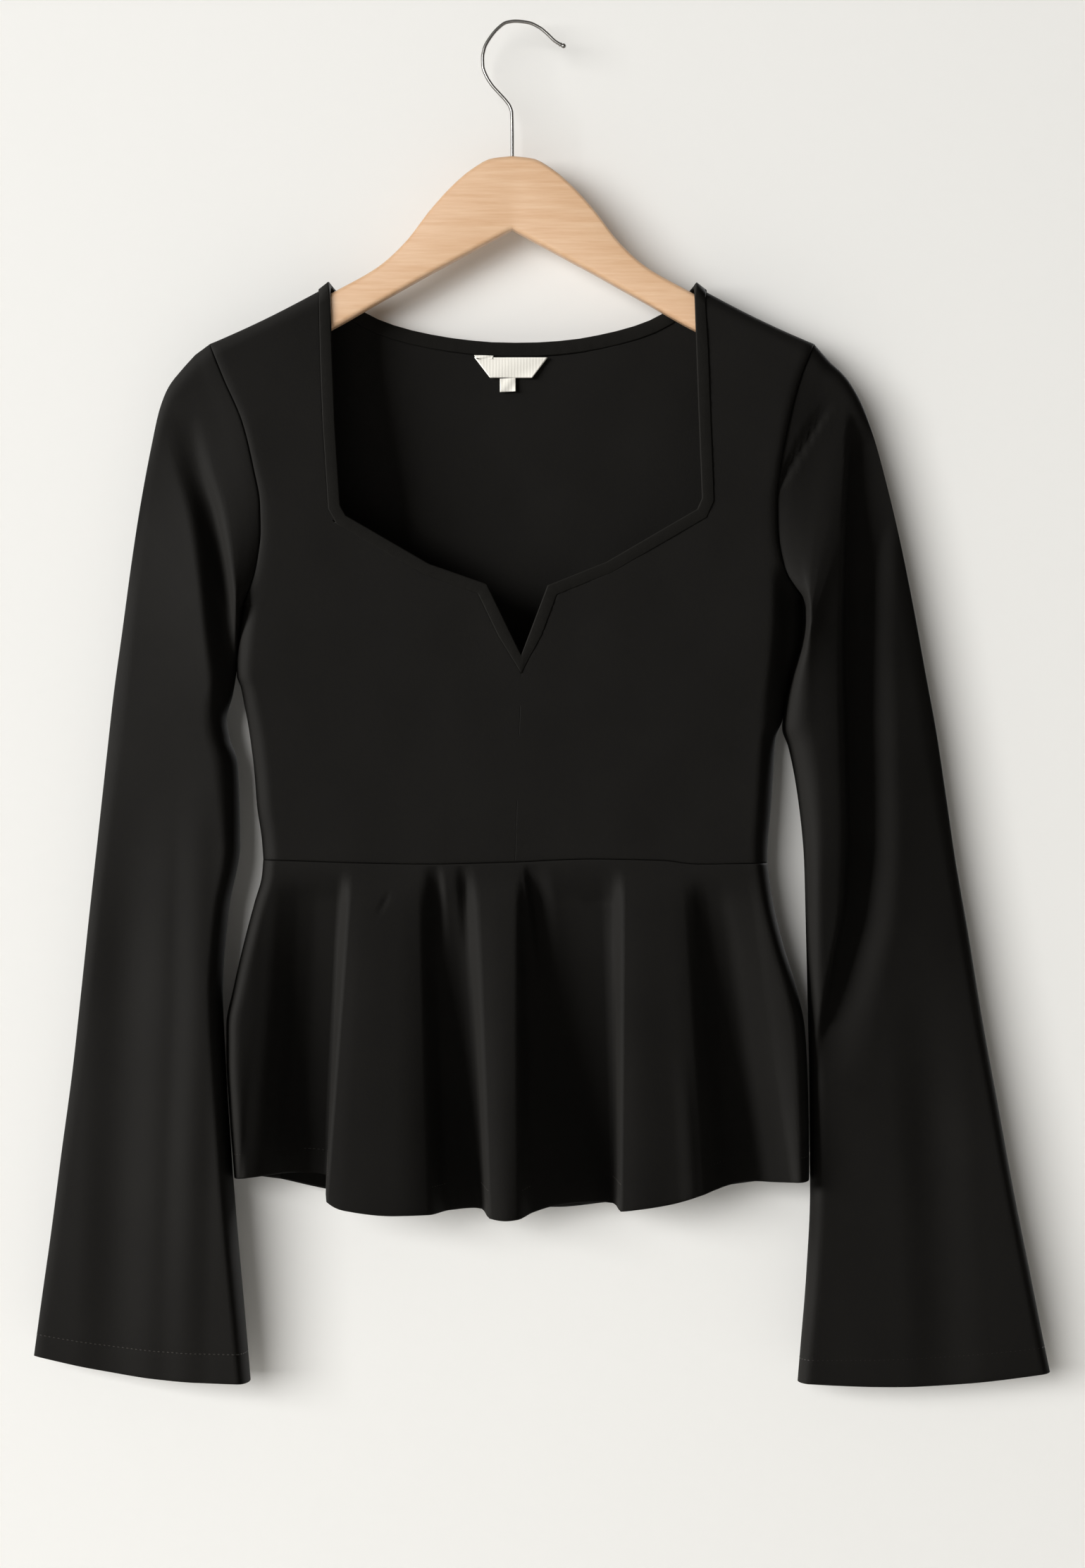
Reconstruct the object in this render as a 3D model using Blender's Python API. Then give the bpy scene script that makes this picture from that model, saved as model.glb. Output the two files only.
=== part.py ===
"""Peplum top with a V-notched neck and long bell sleeves, on a wooden hanger.

Table lengths are millimetres. X runs to the right as the front is seen, -Y is
the side the front faces and Z is up. The origin is the inner top of the hook,
and a drop is a length below it. The cloth hangs flat: each panel is a sheet a
little way before or behind the plane Y = 0, rounded over at its folded edges.
"""

import bpy
import bmesh
from math import cos, hypot, pi, sin, sqrt
from mathutils import Vector

MM = 0.001

# Cloth
WALL = 1.4
SEAM = 0.3
FRONT_BAND = 8.0
BACK_BAND = 9.0
BAND_RISE = 0.5
BAND_THICKNESS = 2.4
V_MITRE = 1.5

# Folded edges
SHOULDER_FOLD = 10.0
SIDE_FOLD = 15.0
UNDERARM_FOLD = 12.0
SLEEVE_FOLD = 11.0
EDGE_STEPS = (0.0, 1.2, 4.0, 9.0)
ARMHOLE_SPANS = 10
SHOULDER_UP = Vector((0.45, 0.0, 0.89))
ARMHOLE_UP = Vector((0.57, 0.0, 0.82))
UNDERARM_DOWN = Vector((0.0, 0.0, -1.0))

# Bodice
SHOULDER_DROP = 205.0
UNDERARM_DROP = {-1: 371.0, 1: 368.0}
WAIST_DROP = 535.5
WAIST_CENTRE = 2.0
LOWER_ROWS = 6
PANEL_COLUMNS = 7
SHOULDER_SAG = 1.8
ARMHOLE_DEPTH = 0.85
BACK_DEPTH = 0.9

# Peplum
PEPLUM_ROWS = 9
HEM_FLARE = 8.0
LINE_SPANS = 3

# Sleeves
SEAM_PULL = (1.0, 0.5, 0.25, 0.1)

# Label and size tab
LABEL_TOP_DROP = 213.0
LABEL_HEIGHT = 13.0
LABEL_TOP_WIDTH = 47.0
LABEL_FOOT_WIDTH = 27.0
LABEL_CENTRE = -0.8
LABEL_THICKNESS = 0.6
TAB_WIDTH = 10.0
TAB_HEIGHT = 8.6
TAB_CENTRE = -2.9

# Hanger
WOOD_THICKNESS = 12.0
WOOD_ROUNDING = 3.4
HOLE_DEPTH = 12.0
WIRE_RADIUS = 1.1
TIP_RADIUS = 1.6
WIRE_STATIONS = 34
WIRE_SIDES = 10

LEFT = -1
RIGHT = 1
FRONT = -1
BACK = 1
SIDE_NAME = {LEFT: "left", RIGHT: "right"}


def table(names, *rows):
    """A table by column name, from its rows."""
    return dict(zip(names.split(), zip(*rows)))


# How far the front stands out from the middle plane at each drop.
BODICE_DEPTH = table(
    "drop depth",
    (160, 9.5),
    (200, 9.5),
    (260, 11.5),
    (330, 14.0),
    (420, 16.0),
    (536, 16.0),
)

# Armhole seam down to the underarm, then the side seam down to the waist.
BODY_EDGE = table(
    "drop left right",
    (205, -193.0, 192.8),
    (228, -183.6, 183.6),
    (256, -171.5, 176.0),
    (285, -164.3, 170.6),
    (308, -160.2, 168.4),
    (326, -159.8, 168.8),
    (342, -161.6, 171.2),
    (353, -163.8, 175.4),
    (361, -166.6, 180.6),
    (368, -169.6, 186.0),
    (371, -170.6, 185.6),
    (380, -170.9, 183.4),
    (397, -171.8, 180.4),
    (416, -173.3, 175.8),
    (437, -170.8, 171.0),
    (456, -167.4, 168.2),
    (478, -164.7, 167.0),
    (501, -162.9, 165.4),
    (522, -159.9, 163.4),
    (536, -158.9, 162.9),
)

# Finished front neckline, from the bottom of the V to the fold at the shoulder.
FRONT_NECK = table(
    "left_x left_drop right_x right_drop steps",
    (5.9, 404.1, 5.9, 404.1, 3),
    (-15.8, 359.1, 22.5, 360.0, 2),
    (-52.0, 346.5, 60.0, 345.0, 3),
    (-108.5, 313.7, 120.6, 309.6, 3),
    (-112.5, 255.6, 118.4, 246.6, 2),
    (-115.7, 176.5, 116.1, 177.0, 0),
    (-115.7, 167.5, 116.1, 168.0, 0),
)

# Finished back neckline, from its lowest point to the fold at the shoulder.
BACK_NECK = table(
    "left_x left_drop right_x right_drop steps",
    (2.0, 203.0, 2.0, 203.0, 2),
    (-52.0, 198.8, 54.0, 199.0, 1),
    (-76.0, 192.8, 78.0, 192.8, 1),
    (-94.0, 185.0, 96.0, 185.6, 1),
    (-109.2, 173.8, 109.6, 174.3, 0),
    (-115.7, 167.5, 116.1, 168.0, 0),
)

# Side edges of the peplum.
PEPLUM_EDGE = table(
    "drop left right",
    (535, -158.9, 162.9),
    (546, -159.8, 164.3),
    (562, -164.3, 166.8),
    (587, -171.0, 172.8),
    (617, -177.3, 180.8),
    (640, -180.6, 184.6),
    (662, -180.6, 186.4),
    (690, -179.2, 187.4),
    (722, -176.8, 187.9),
    (745, -175.2, 188.0),
)

# Ridges and hollows of the peplum, left to right. Height is toward the outside.
FRONT_LINES = table(
    "waist_x hem_x height hem_drop",
    (-143.0, -164.0, 3.0, 735.5),
    (-134.0, -143.0, -12.0, 735.5),
    (-106.0, -124.0, -8.0, 741.0),
    (-98.0, -115.0, 15.0, 751.0),
    (-62.0, -74.0, 9.0, 757.5),
    (-42.0, -28.0, -9.0, 755.0),
    (-24.0, -4.0, 14.0, 760.0),
    (10.0, 36.0, -16.0, 753.0),
    (62.0, 63.0, -6.0, 753.5),
    (70.0, 71.0, 13.0, 754.5),
    (94.0, 98.0, 6.0, 751.0),
    (118.0, 138.0, -12.0, 739.5),
    (144.0, 172.0, 5.0, 739.0),
)
BACK_LINES = table(
    "waist_x hem_x height hem_drop",
    (-138.0, -150.0, 7.0, 740.0),
    (-108.0, -118.0, -6.0, 748.0),
    (-76.0, -84.0, 7.0, 753.0),
    (-44.0, -47.0, -7.0, 756.0),
    (-10.0, -10.0, 8.0, 758.0),
    (24.0, 28.0, -6.0, 758.0),
    (58.0, 66.0, 7.0, 756.0),
    (90.0, 104.0, -7.0, 751.0),
    (120.0, 138.0, 6.0, 745.5),
    (142.0, 166.0, -3.0, 740.5),
)
EDGE_HEM_DROP = {LEFT: 736.5, RIGHT: 738.0}

# Lines across each sleeve, from its outer fold to its underarm fold.
SLEEVE_LINES = {
    LEFT: table(
        "outer_x outer_drop inner_x inner_drop depth sag",
        (-202.5, 212.0, -172.1, 378.0, 9.5, 0.0),
        (-211.5, 222.0, -173.0, 385.0, 9.8, 0.0),
        (-219.5, 232.5, -173.8, 392.0, 10.2, 0.0),
        (-225.0, 246.0, -174.6, 399.0, 10.8, 0.0),
        (-231.0, 273.0, -175.3, 407.0, 11.4, 0.0),
        (-238.0, 311.0, -176.4, 417.0, 12.0, 0.0),
        (-243.2, 345.0, -178.6, 430.0, 12.0, 0.0),
        (-249.0, 388.0, -182.2, 444.0, 12.0, 0.0),
        (-254.5, 428.0, -180.2, 457.0, 12.0, 0.0),
        (-259.0, 468.0, -175.2, 474.0, 12.0, 0.0),
        (-265.0, 523.0, -173.6, 523.0, 12.0, 0.0),
        (-270.0, 568.0, -180.8, 566.0, 12.0, 0.0),
        (-275.5, 620.0, -184.7, 618.0, 12.0, 0.0),
        (-281.0, 670.0, -182.6, 670.0, 12.5, 0.0),
        (-288.0, 722.0, -179.3, 722.0, 13.0, 0.0),
        (-294.5, 772.0, -175.3, 772.0, 13.0, 0.5),
        (-301.0, 818.0, -170.8, 822.0, 12.0, 2.0),
        (-305.5, 851.0, -167.0, 866.5, 11.0, 4.5),
    ),
    RIGHT: table(
        "outer_x outer_drop inner_x inner_drop depth sag",
        (203.5, 217.0, 187.0, 375.0, 9.5, 0.0),
        (212.9, 226.0, 187.0, 383.0, 9.8, 0.0),
        (221.9, 240.3, 186.2, 391.0, 10.2, 0.0),
        (230.9, 264.6, 184.6, 399.0, 10.8, 0.0),
        (240.0, 298.0, 181.6, 409.0, 11.4, 0.0),
        (248.0, 332.0, 178.0, 420.0, 12.0, 0.0),
        (256.5, 374.0, 174.4, 435.0, 12.0, 0.0),
        (264.0, 415.0, 172.4, 450.0, 12.0, 0.0),
        (270.8, 452.0, 176.4, 463.0, 12.0, 0.0),
        (277.0, 493.0, 182.0, 492.0, 12.0, 0.0),
        (283.0, 534.0, 186.3, 534.0, 12.0, 0.0),
        (291.0, 580.0, 187.5, 578.0, 12.0, 0.0),
        (300.0, 635.0, 188.8, 632.0, 12.0, 0.0),
        (310.0, 690.0, 189.9, 688.0, 12.5, 0.0),
        (320.0, 745.0, 190.2, 745.0, 13.0, 0.0),
        (330.0, 795.0, 187.8, 798.0, 13.0, 0.5),
        (338.0, 835.0, 184.2, 843.0, 12.0, 2.0),
        (343.4, 861.0, 182.2, 867.0, 11.0, 5.0),
    ),
}

# Long hollows in the sleeves: three places on each, its width to either side
# as the front is seen, and how far it sinks.
SLEEVE_HOLLOWS = table(
    "side face top_x top_drop mid_x mid_drop foot_x foot_drop left_width right_width depth",
    (LEFT, FRONT, -212.0, 250.0, -193.0, 350.0, -183.0, 470.0, 22.0, 11.0, 9.5),
    (LEFT, FRONT, -232.0, 560.0, -228.0, 690.0, -226.0, 940.0, 24.0, 24.0, 3.0),
    (LEFT, BACK, -205.0, 270.0, -212.0, 420.0, -208.0, 640.0, 18.0, 18.0, 6.0),
    (RIGHT, FRONT, 224.0, 255.0, 226.0, 400.0, 206.0, 640.0, 11.0, 24.0, 10.0),
    (RIGHT, FRONT, 168.0, 294.0, 184.0, 270.0, 200.0, 246.0, 8.0, 8.0, 3.0),
    (RIGHT, FRONT, 262.0, 600.0, 268.0, 720.0, 276.0, 940.0, 26.0, 26.0, 3.0),
    (RIGHT, BACK, 212.0, 280.0, 222.0, 430.0, 226.0, 660.0, 18.0, 18.0, 6.0),
)

# Upper and lower edges of the hanger's wooden arm, from its middle outward.
WOOD_ARM = table(
    "x top bottom",
    (0.0, 85.5, 132.5),
    (13.0, 87.0, 139.5),
    (26.0, 94.0, 146.5),
    (38.0, 104.2, 153.0),
    (52.0, 119.5, 160.5),
    (68.0, 140.2, 169.5),
    (85.0, 155.8, 179.0),
    (115.0, 172.9, 196.0),
    (130.0, 181.4, 203.2),
    (150.0, 190.8, 212.4),
    (180.0, 205.5, 225.0),
    (193.0, 213.5, 229.5),
    (200.0, 221.0, 231.0),
)
WOOD_TIP_X = 203.0
WOOD_TIP_DROP = 226.2

# Middle of the hook's wire, from the end in the wood to the ball at its tip.
HOOK_BEND = table(
    "x drop",
    (0.0, 97.0),
    (0.0, 76.0),
    (-0.3, 57.4),
    (-1.4, 53.6),
    (-4.2, 49.5),
    (-8.3, 45.0),
    (-13.0, 39.7),
    (-16.8, 33.4),
    (-18.7, 27.7),
    (-18.9, 22.6),
    (-17.8, 16.3),
    (-14.3, 9.7),
    (-9.2, 3.6),
    (-3.6, -0.3),
    (2.0, -1.1),
    (10.3, -0.2),
    (17.3, 2.9),
    (22.3, 6.9),
    (27.4, 11.7),
    (32.4, 14.5),
    (34.3, 15.1),
)


def slope_at(keys, values, index):
    """Slope of a smooth curve at one row, level wherever the rows turn back."""
    last = len(keys) - 1
    if index in (0, last):
        start = min(index, last - 1)
        return (values[start + 1] - values[start]) / (keys[start + 1] - keys[start])
    before = (values[index] - values[index - 1]) / (keys[index] - keys[index - 1])
    after = (values[index + 1] - values[index]) / (keys[index + 1] - keys[index])
    if before * after <= 0.0:
        return 0.0
    return 2.0 * before * after / (before + after)


def through(keys, values, at):
    """Value at a key on the smooth curve through a table's rows."""
    at = min(max(at, keys[0]), keys[-1])
    row = 0
    while row < len(keys) - 2 and at > keys[row + 1]:
        row += 1
    span = keys[row + 1] - keys[row]
    t = (at - keys[row]) / span
    rise = values[row + 1] - values[row]
    leave = slope_at(keys, values, row) * span
    reach = slope_at(keys, values, row + 1) * span
    bend = leave + reach - 2.0 * rise
    return values[row] + t * (leave + t * (3.0 * rise - 2.0 * leave - reach + t * bend))


def rounded(distance, reach):
    """Quarter-round rise from 0 at a folded edge to 1 at its reach."""
    t = min(max(distance / reach, 0.0), 1.0)
    return sqrt(1.0 - (1.0 - t) ** 2)


def bell(t):
    """Soft hump of height 1 that ends at -1 and 1."""
    if abs(t) >= 1.0:
        return 0.0
    return 0.5 + 0.5 * cos(pi * t)


def body_edge(side, drop):
    """Where the armhole or side seam lies at a drop."""
    return through(BODY_EDGE["drop"], BODY_EDGE[SIDE_NAME[side]], drop)


def panel_depth(face, drop):
    """How far a bodice panel stands from the middle plane."""
    depth = through(BODICE_DEPTH["drop"], BODICE_DEPTH["depth"], drop)
    return depth if face == FRONT else depth * BACK_DEPTH


def point(x, drop, y):
    return Vector((x, y, -drop))


def walk(path, distances):
    """Places at given distances along a polyline of (x, drop)."""
    places = []
    for distance in distances:
        left = distance
        for start, end in zip(path, path[1:]):
            length = hypot(end[0] - start[0], end[1] - start[1])
            if left <= length or end is path[-1]:
                t = left / length
                places.append((start[0] + t * (end[0] - start[0]), start[1] + t * (end[1] - start[1])))
                break
            left -= length
    return places


def path_length(path):
    return sum(hypot(b[0] - a[0], b[1] - a[1]) for a, b in zip(path, path[1:]))


def edge_spaced(length, spans):
    """Distances from 0 to a length, close together at both folded ends."""
    inset = EDGE_STEPS[-1]
    middle = [inset + (length - 2.0 * inset) * i / spans for i in range(1, spans)]
    return list(EDGE_STEPS) + middle + [length - step for step in reversed(EDGE_STEPS)]


def armhole(side):
    """Armhole seam from the shoulder to the underarm: places and distances."""
    samples = 120
    under = UNDERARM_DROP[side]
    drops = [SHOULDER_DROP + (under - SHOULDER_DROP) * i / samples for i in range(samples + 1)]
    path = [(body_edge(side, drop), drop) for drop in drops]
    length = path_length(path)
    distances = edge_spaced(length, ARMHOLE_SPANS)
    return walk(path, distances), distances, length


def armhole_depth(face, drop, distance, length):
    """How far the armhole seam stands from the middle plane."""
    ends = rounded(distance, SHOULDER_FOLD) * rounded(length - distance, UNDERARM_FOLD)
    return ARMHOLE_DEPTH * panel_depth(face, drop) * ends


def armhole_out(side, face, distance, length):
    """Outward direction of the cloth along the armhole seam."""
    over = max(1.0 - distance / SHOULDER_FOLD, 0.0)
    under = max(1.0 - (length - distance) / UNDERARM_FOLD, 0.0)
    flat = sqrt(max(1.0 - over ** 2 - under ** 2, 0.0))
    up = Vector((side * ARMHOLE_UP.x, 0.0, ARMHOLE_UP.z))
    out = over * up + under * UNDERARM_DOWN + flat * Vector((0.0, face, 0.0))
    return out.normalized()


def neck_path(neck, side):
    """Finished neckline from the middle to the shoulder fold, one place a row."""
    xs = neck[SIDE_NAME[side] + "_x"]
    drops = neck[SIDE_NAME[side] + "_drop"]
    corners = list(zip(xs, drops))
    places = []
    for start, end, steps in zip(corners, corners[1:], neck["steps"]):
        for i in range(steps):
            t = i / steps
            places.append((start[0] + t * (end[0] - start[0]), start[1] + t * (end[1] - start[1])))
    foot, top = corners[-2:]
    for step in reversed(EDGE_STEPS):
        t = step / EDGE_STEPS[-1]
        places.append((top[0] + t * (foot[0] - top[0]), top[1] + t * (foot[1] - top[1])))
    return places


def neck_offsets(places, side, middle_offset, shoulder):
    """Step into the cloth at each place of a neckline, for 1 mm of band."""
    offsets = [middle_offset]
    fold_start = len(places) - len(EDGE_STEPS)
    for i in range(1, len(places)):
        if i >= fold_start:
            row = Vector((shoulder[0] - places[-1][0], shoulder[1] - places[-1][1]))
            offsets.append(row.normalized())
            continue
        before = (Vector(places[i]) - Vector(places[i - 1])).normalized()
        after = (Vector(places[i + 1]) - Vector(places[i])).normalized()
        across = (before + after).normalized()
        normal = Vector((-across.y, across.x)) * side
        cos_half = max(across.dot(before), 0.5)
        offsets.append(normal / cos_half)
    return offsets


def fold_out(side, face, distance):
    """Outward direction of the cloth near the shoulder fold."""
    over = max(1.0 - distance / SHOULDER_FOLD, 0.0)
    up = Vector((side * SHOULDER_UP.x, 0.0, SHOULDER_UP.z))
    return (over * up + sqrt(1.0 - over ** 2) * Vector((0.0, face, 0.0))).normalized()


def neck_rows(face, side):
    """Neckline rows from the middle to the shoulder: edge, step, depth, outward."""
    neck = FRONT_NECK if face == FRONT else BACK_NECK
    middle = Vector((0.0, V_MITRE if face == FRONT else 1.0))
    places = neck_path(neck, side)
    shoulder = (body_edge(side, SHOULDER_DROP), SHOULDER_DROP)
    offsets = neck_offsets(places, side, middle, shoulder)
    rows = []
    last = len(places) - 1
    for i, place in enumerate(places):
        from_fold = EDGE_STEPS[last - i] if last - i < len(EDGE_STEPS) else SHOULDER_FOLD
        depth = panel_depth(face, place[1]) * rounded(from_fold, SHOULDER_FOLD)
        rows.append((place, offsets[i], depth, fold_out(side, face, from_fold)))
    return rows


def flat_y(normal):
    return Vector((normal.x, 0.0, normal.z)).normalized()


def flat_z(normal):
    return Vector((normal.x, normal.y, 0.0)).normalized()


def along_x(side):
    return Vector((side, 0.0, 0.0))


def place_key(place):
    return tuple(round(value, 4) for value in place)


def bodice_half(face, side, rims):
    """One half of a bodice panel as a grid of points, waist to shoulder."""
    seam_places, distances, length = armhole(side)
    neck = neck_rows(face, side)
    band = (FRONT_BAND if face == FRONT else BACK_BAND) + SEAM
    inner = [Vector(place) + step * band for place, step, depth, out in neck]
    centre_rows = len(seam_places) - len(neck)
    middle_foot = inner[0]
    centre_top = middle_foot.y
    grid = []

    def add_row(edge, edge_depth, stop, fold, sag):
        row_length = hypot(stop[0] - edge[0], stop[1] - edge[1])
        inset = SIDE_FOLD
        steps = list(EDGE_STEPS)
        steps += [inset + (row_length - inset) * i / PANEL_COLUMNS for i in range(PANEL_COLUMNS + 1)]
        row = []
        for step in steps:
            t = step / row_length
            x = edge[0] + t * (stop[0] - edge[0])
            drop = edge[1] + t * (stop[1] - edge[1]) + sag * sin(pi * t)
            full_depth = panel_depth(face, drop) * fold
            depth = edge_depth + (full_depth - edge_depth) * rounded(step, SIDE_FOLD)
            row.append(point(x, drop, face * (SEAM / 2.0 + depth)))
        grid.append(row)
        return row

    under = UNDERARM_DROP[side]
    lower = LOWER_ROWS + centre_rows
    under_centre = centre_top + (WAIST_DROP - centre_top) * centre_rows / lower
    waist_row_drop = WAIST_DROP - SEAM / 2.0
    for i in range(LOWER_ROWS):
        t = i / LOWER_ROWS
        edge_drop = waist_row_drop + t * (under - waist_row_drop)
        stop_drop = waist_row_drop + t * (under_centre - waist_row_drop)
        rise = (waist_row_drop - stop_drop) / (waist_row_drop - centre_top)
        stop = (WAIST_CENTRE + rise * (middle_foot.x - WAIST_CENTRE), stop_drop)
        edge = (body_edge(side, edge_drop), edge_drop)
        row = add_row(edge, 0.0, stop, 1.0, 0.0)
        rims[place_key(row[0])] = flat_y
        if i == 0:
            for place in row:
                rims[place_key(place)] = flat_z
            rims[place_key(row[0])] = lambda normal: along_x(side)

    for j in range(len(seam_places)):
        index = len(seam_places) - 1 - j
        seam = seam_places[index]
        distance = distances[index]
        edge = (seam[0] - side * SEAM * 0.6, seam[1])
        edge_depth = armhole_depth(face, seam[1], distance, length)
        if j < centre_rows:
            t = j / centre_rows
            stop_drop = under_centre + t * (centre_top - under_centre)
            rise = (waist_row_drop - stop_drop) / (waist_row_drop - centre_top)
            stop = (WAIST_CENTRE + rise * (middle_foot.x - WAIST_CENTRE), stop_drop)
            row = add_row(edge, edge_depth, stop, 1.0, 0.0)
        else:
            place, step, depth, out = neck[j - centre_rows]
            fold = rounded(distance, SHOULDER_FOLD)
            sag = SHOULDER_SAG * (1.0 - fold)
            row = add_row(edge, edge_depth, inner[j - centre_rows], fold, sag)
            rims[place_key(row[-1])] = lambda normal, out=out: out
        out = armhole_out(side, face, distance, length)
        rims[place_key(row[0])] = lambda normal, out=out: out
    for place in grid[-1][1:-1]:
        rims[place_key(place)] = flat_y
    return grid


def peplum_columns(face):
    """Peplum columns left to right: x at the waist and hem, height, hem drop."""
    lines = FRONT_LINES if face == FRONT else BACK_LINES
    rows = list(zip(lines["waist_x"], lines["hem_x"], lines["height"], lines["hem_drop"]))
    columns = []
    for start, end in zip(rows, rows[1:]):
        for i in range(LINE_SPANS):
            t = i / LINE_SPANS
            ease = 0.5 - 0.5 * cos(pi * t)
            waist_x = start[0] + t * (end[0] - start[0])
            hem_x = start[1] + t * (end[1] - start[1])
            height = start[2] + ease * (end[2] - start[2])
            hem_drop = start[3] + ease * (end[3] - start[3])
            columns.append((waist_x, hem_x, height, hem_drop))
    columns.append(rows[-1])
    return columns


def peplum_row(face, v, columns):
    """One row of a peplum panel, left to right: v is 0 at the waist and 1 at the hem."""
    top = WAIST_DROP + SEAM / 2.0
    full = panel_depth(face, WAIST_DROP) + HEM_FLARE * v
    rise = v ** 0.85
    corner = {side: top + v * (EDGE_HEM_DROP[side] - top) for side in (LEFT, RIGHT)}
    edge = {
        side: through(PEPLUM_EDGE["drop"], PEPLUM_EDGE[SIDE_NAME[side]], corner[side])
        for side in (LEFT, RIGHT)
    }

    def place(x, drop, height):
        from_edge = min(x - edge[LEFT], edge[RIGHT] - x)
        depth = full * rounded(from_edge, SIDE_FOLD) + height * rise
        return point(x, drop, face * (SEAM / 2.0 + max(depth, 0.0)))

    ends = {LEFT: [], RIGHT: []}
    for side, nearest in ((LEFT, columns[0]), (RIGHT, columns[-1])):
        waist_x, hem_x, height, hem_drop = nearest
        reach = abs(waist_x + (hem_x - waist_x) * v - edge[side])
        for step in EDGE_STEPS:
            t = step / reach
            drop = corner[side] + t * v * (hem_drop - EDGE_HEM_DROP[side])
            ends[side].append(place(edge[side] - side * step, drop, height * t ** 2))
    middle = [
        place(waist_x + (hem_x - waist_x) * v, top + v * (hem_drop - top), height)
        for waist_x, hem_x, height, hem_drop in columns
    ]
    return ends[LEFT] + middle + ends[RIGHT][::-1]


def peplum_grid(face, rims):
    """A peplum panel as a grid of points, waist to hem."""
    columns = peplum_columns(face)
    grid = [peplum_row(face, i / PEPLUM_ROWS, columns) for i in range(PEPLUM_ROWS + 1)]
    for row in grid:
        rims[place_key(row[0])] = flat_y
        rims[place_key(row[-1])] = flat_y
    for row in (grid[0], grid[-1]):
        for place in row:
            rims[place_key(place)] = flat_z
        rims[place_key(row[0])] = lambda normal: along_x(LEFT)
        rims[place_key(row[-1])] = lambda normal: along_x(RIGHT)
    return grid


def hollow_depth(side, face, x, drop):
    """How far the sleeve's long hollows sink at a place."""
    sunk = 0.0
    rows = zip(*(SLEEVE_HOLLOWS[name] for name in SLEEVE_HOLLOWS))
    for row_side, row_face, tx, td, mx, md, fx, fd, left_width, right_width, depth in rows:
        if (row_side, row_face) != (side, face):
            continue
        keys = (td, md, fd) if td < fd else (fd, md, td)
        values = (tx, mx, fx) if td < fd else (fx, mx, tx)
        if not keys[0] < drop < keys[2]:
            continue
        off = x - through(keys, values, drop)
        width = left_width if off < 0.0 else right_width
        along = (drop - keys[0]) / (keys[2] - keys[0])
        sunk += depth * bell(off / width) * sin(pi * along) ** 0.6
    return sunk


def sleeve_rings(side, rims):
    """Rings round a sleeve, from the armhole seam to the cuff."""
    seam_places, distances, length = armhole(side)
    lines = SLEEVE_LINES[side]
    seam_chord = (Vector(seam_places[0]), Vector(seam_places[-1]))
    rings = []

    first = {FRONT: [], BACK: []}
    for face in (FRONT, BACK):
        for seam, distance in zip(seam_places, distances):
            depth = armhole_depth(face, seam[1], distance, length)
            place = point(seam[0] + side * SEAM * 0.6, seam[1], face * depth)
            out = armhole_out(side, face, distance, length)
            rims[place_key(place)] = lambda normal, out=out: out
            first[face].append(place)
    rings.append(first[FRONT] + first[BACK][-2:0:-1])

    stations = len(lines["outer_x"])
    for k in range(stations):
        outer = Vector((lines["outer_x"][k], lines["outer_drop"][k]))
        inner = Vector((lines["inner_x"][k], lines["inner_drop"][k]))
        width = (inner - outer).length
        pull = SEAM_PULL[k + 1] if k + 1 < len(SEAM_PULL) else 0.0
        sheets = {FRONT: [], BACK: []}
        for face in (FRONT, BACK):
            for j, step in enumerate(edge_spaced(width, ARMHOLE_SPANS)):
                t = step / width
                place = outer.lerp(inner, t)
                seam_t = distances[j] / length
                bow = Vector(seam_places[j]) - seam_chord[0].lerp(seam_chord[1], seam_t)
                place += pull * (1.0 - seam_t ** 6) * bow
                drop = place.y + lines["sag"][k] * sin(pi * t)
                ends = rounded(step, SLEEVE_FOLD) * rounded(width - step, SLEEVE_FOLD)
                face_depth = lines["depth"][k] * (1.0 if face == FRONT else BACK_DEPTH)
                seam_depth = armhole_depth(face, seam_places[j][1], distances[j], length)
                depth = face_depth * ends + pull * (seam_depth - face_depth * ends)
                depth -= hollow_depth(side, face, place.x, drop) * ends * (1.0 - pull)
                sheets[face].append(point(place.x, drop, face * depth))
        ring = sheets[FRONT] + sheets[BACK][-2:0:-1]
        if k == stations - 1:
            for place in ring:
                rims[place_key(place)] = flat_z
        rings.append(ring)
    return [ring + ring[:1] for ring in rings]


def new_material(name, colour, roughness, metallic=0.0):
    material = bpy.data.materials.new(name)
    material.use_nodes = True
    shader = material.node_tree.nodes["Principled BSDF"]
    shader.inputs["Base Color"].default_value = (*colour, 1.0)
    shader.inputs["Roughness"].default_value = roughness
    shader.inputs["Metallic"].default_value = metallic
    material.diffuse_color = (*colour, 1.0)
    return material


def add_object(name, bm, material):
    """Make an object from a mesh worked out in millimetres."""
    bmesh.ops.recalc_face_normals(bm, faces=bm.faces)
    if bm.calc_volume(signed=True) < 0.0:
        bmesh.ops.reverse_faces(bm, faces=bm.faces)
    bmesh.ops.scale(bm, vec=(MM, MM, MM), verts=bm.verts)
    mesh = bpy.data.meshes.new(name)
    bm.to_mesh(mesh)
    bm.free()
    mesh.shade_smooth()
    mesh.set_sharp_from_angle(angle=0.9)
    mesh.materials.append(material)
    item = bpy.data.objects.new(name, mesh)
    bpy.context.scene.collection.objects.link(item)
    return item


def add_grid(bm, grid):
    """Add a grid of points as quads."""
    rows = [[bm.verts.new(place) for place in row] for row in grid]
    for low, high in zip(rows, rows[1:]):
        for i in range(len(low) - 1):
            bm.faces.new((low[i], low[i + 1], high[i + 1], high[i]))


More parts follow.
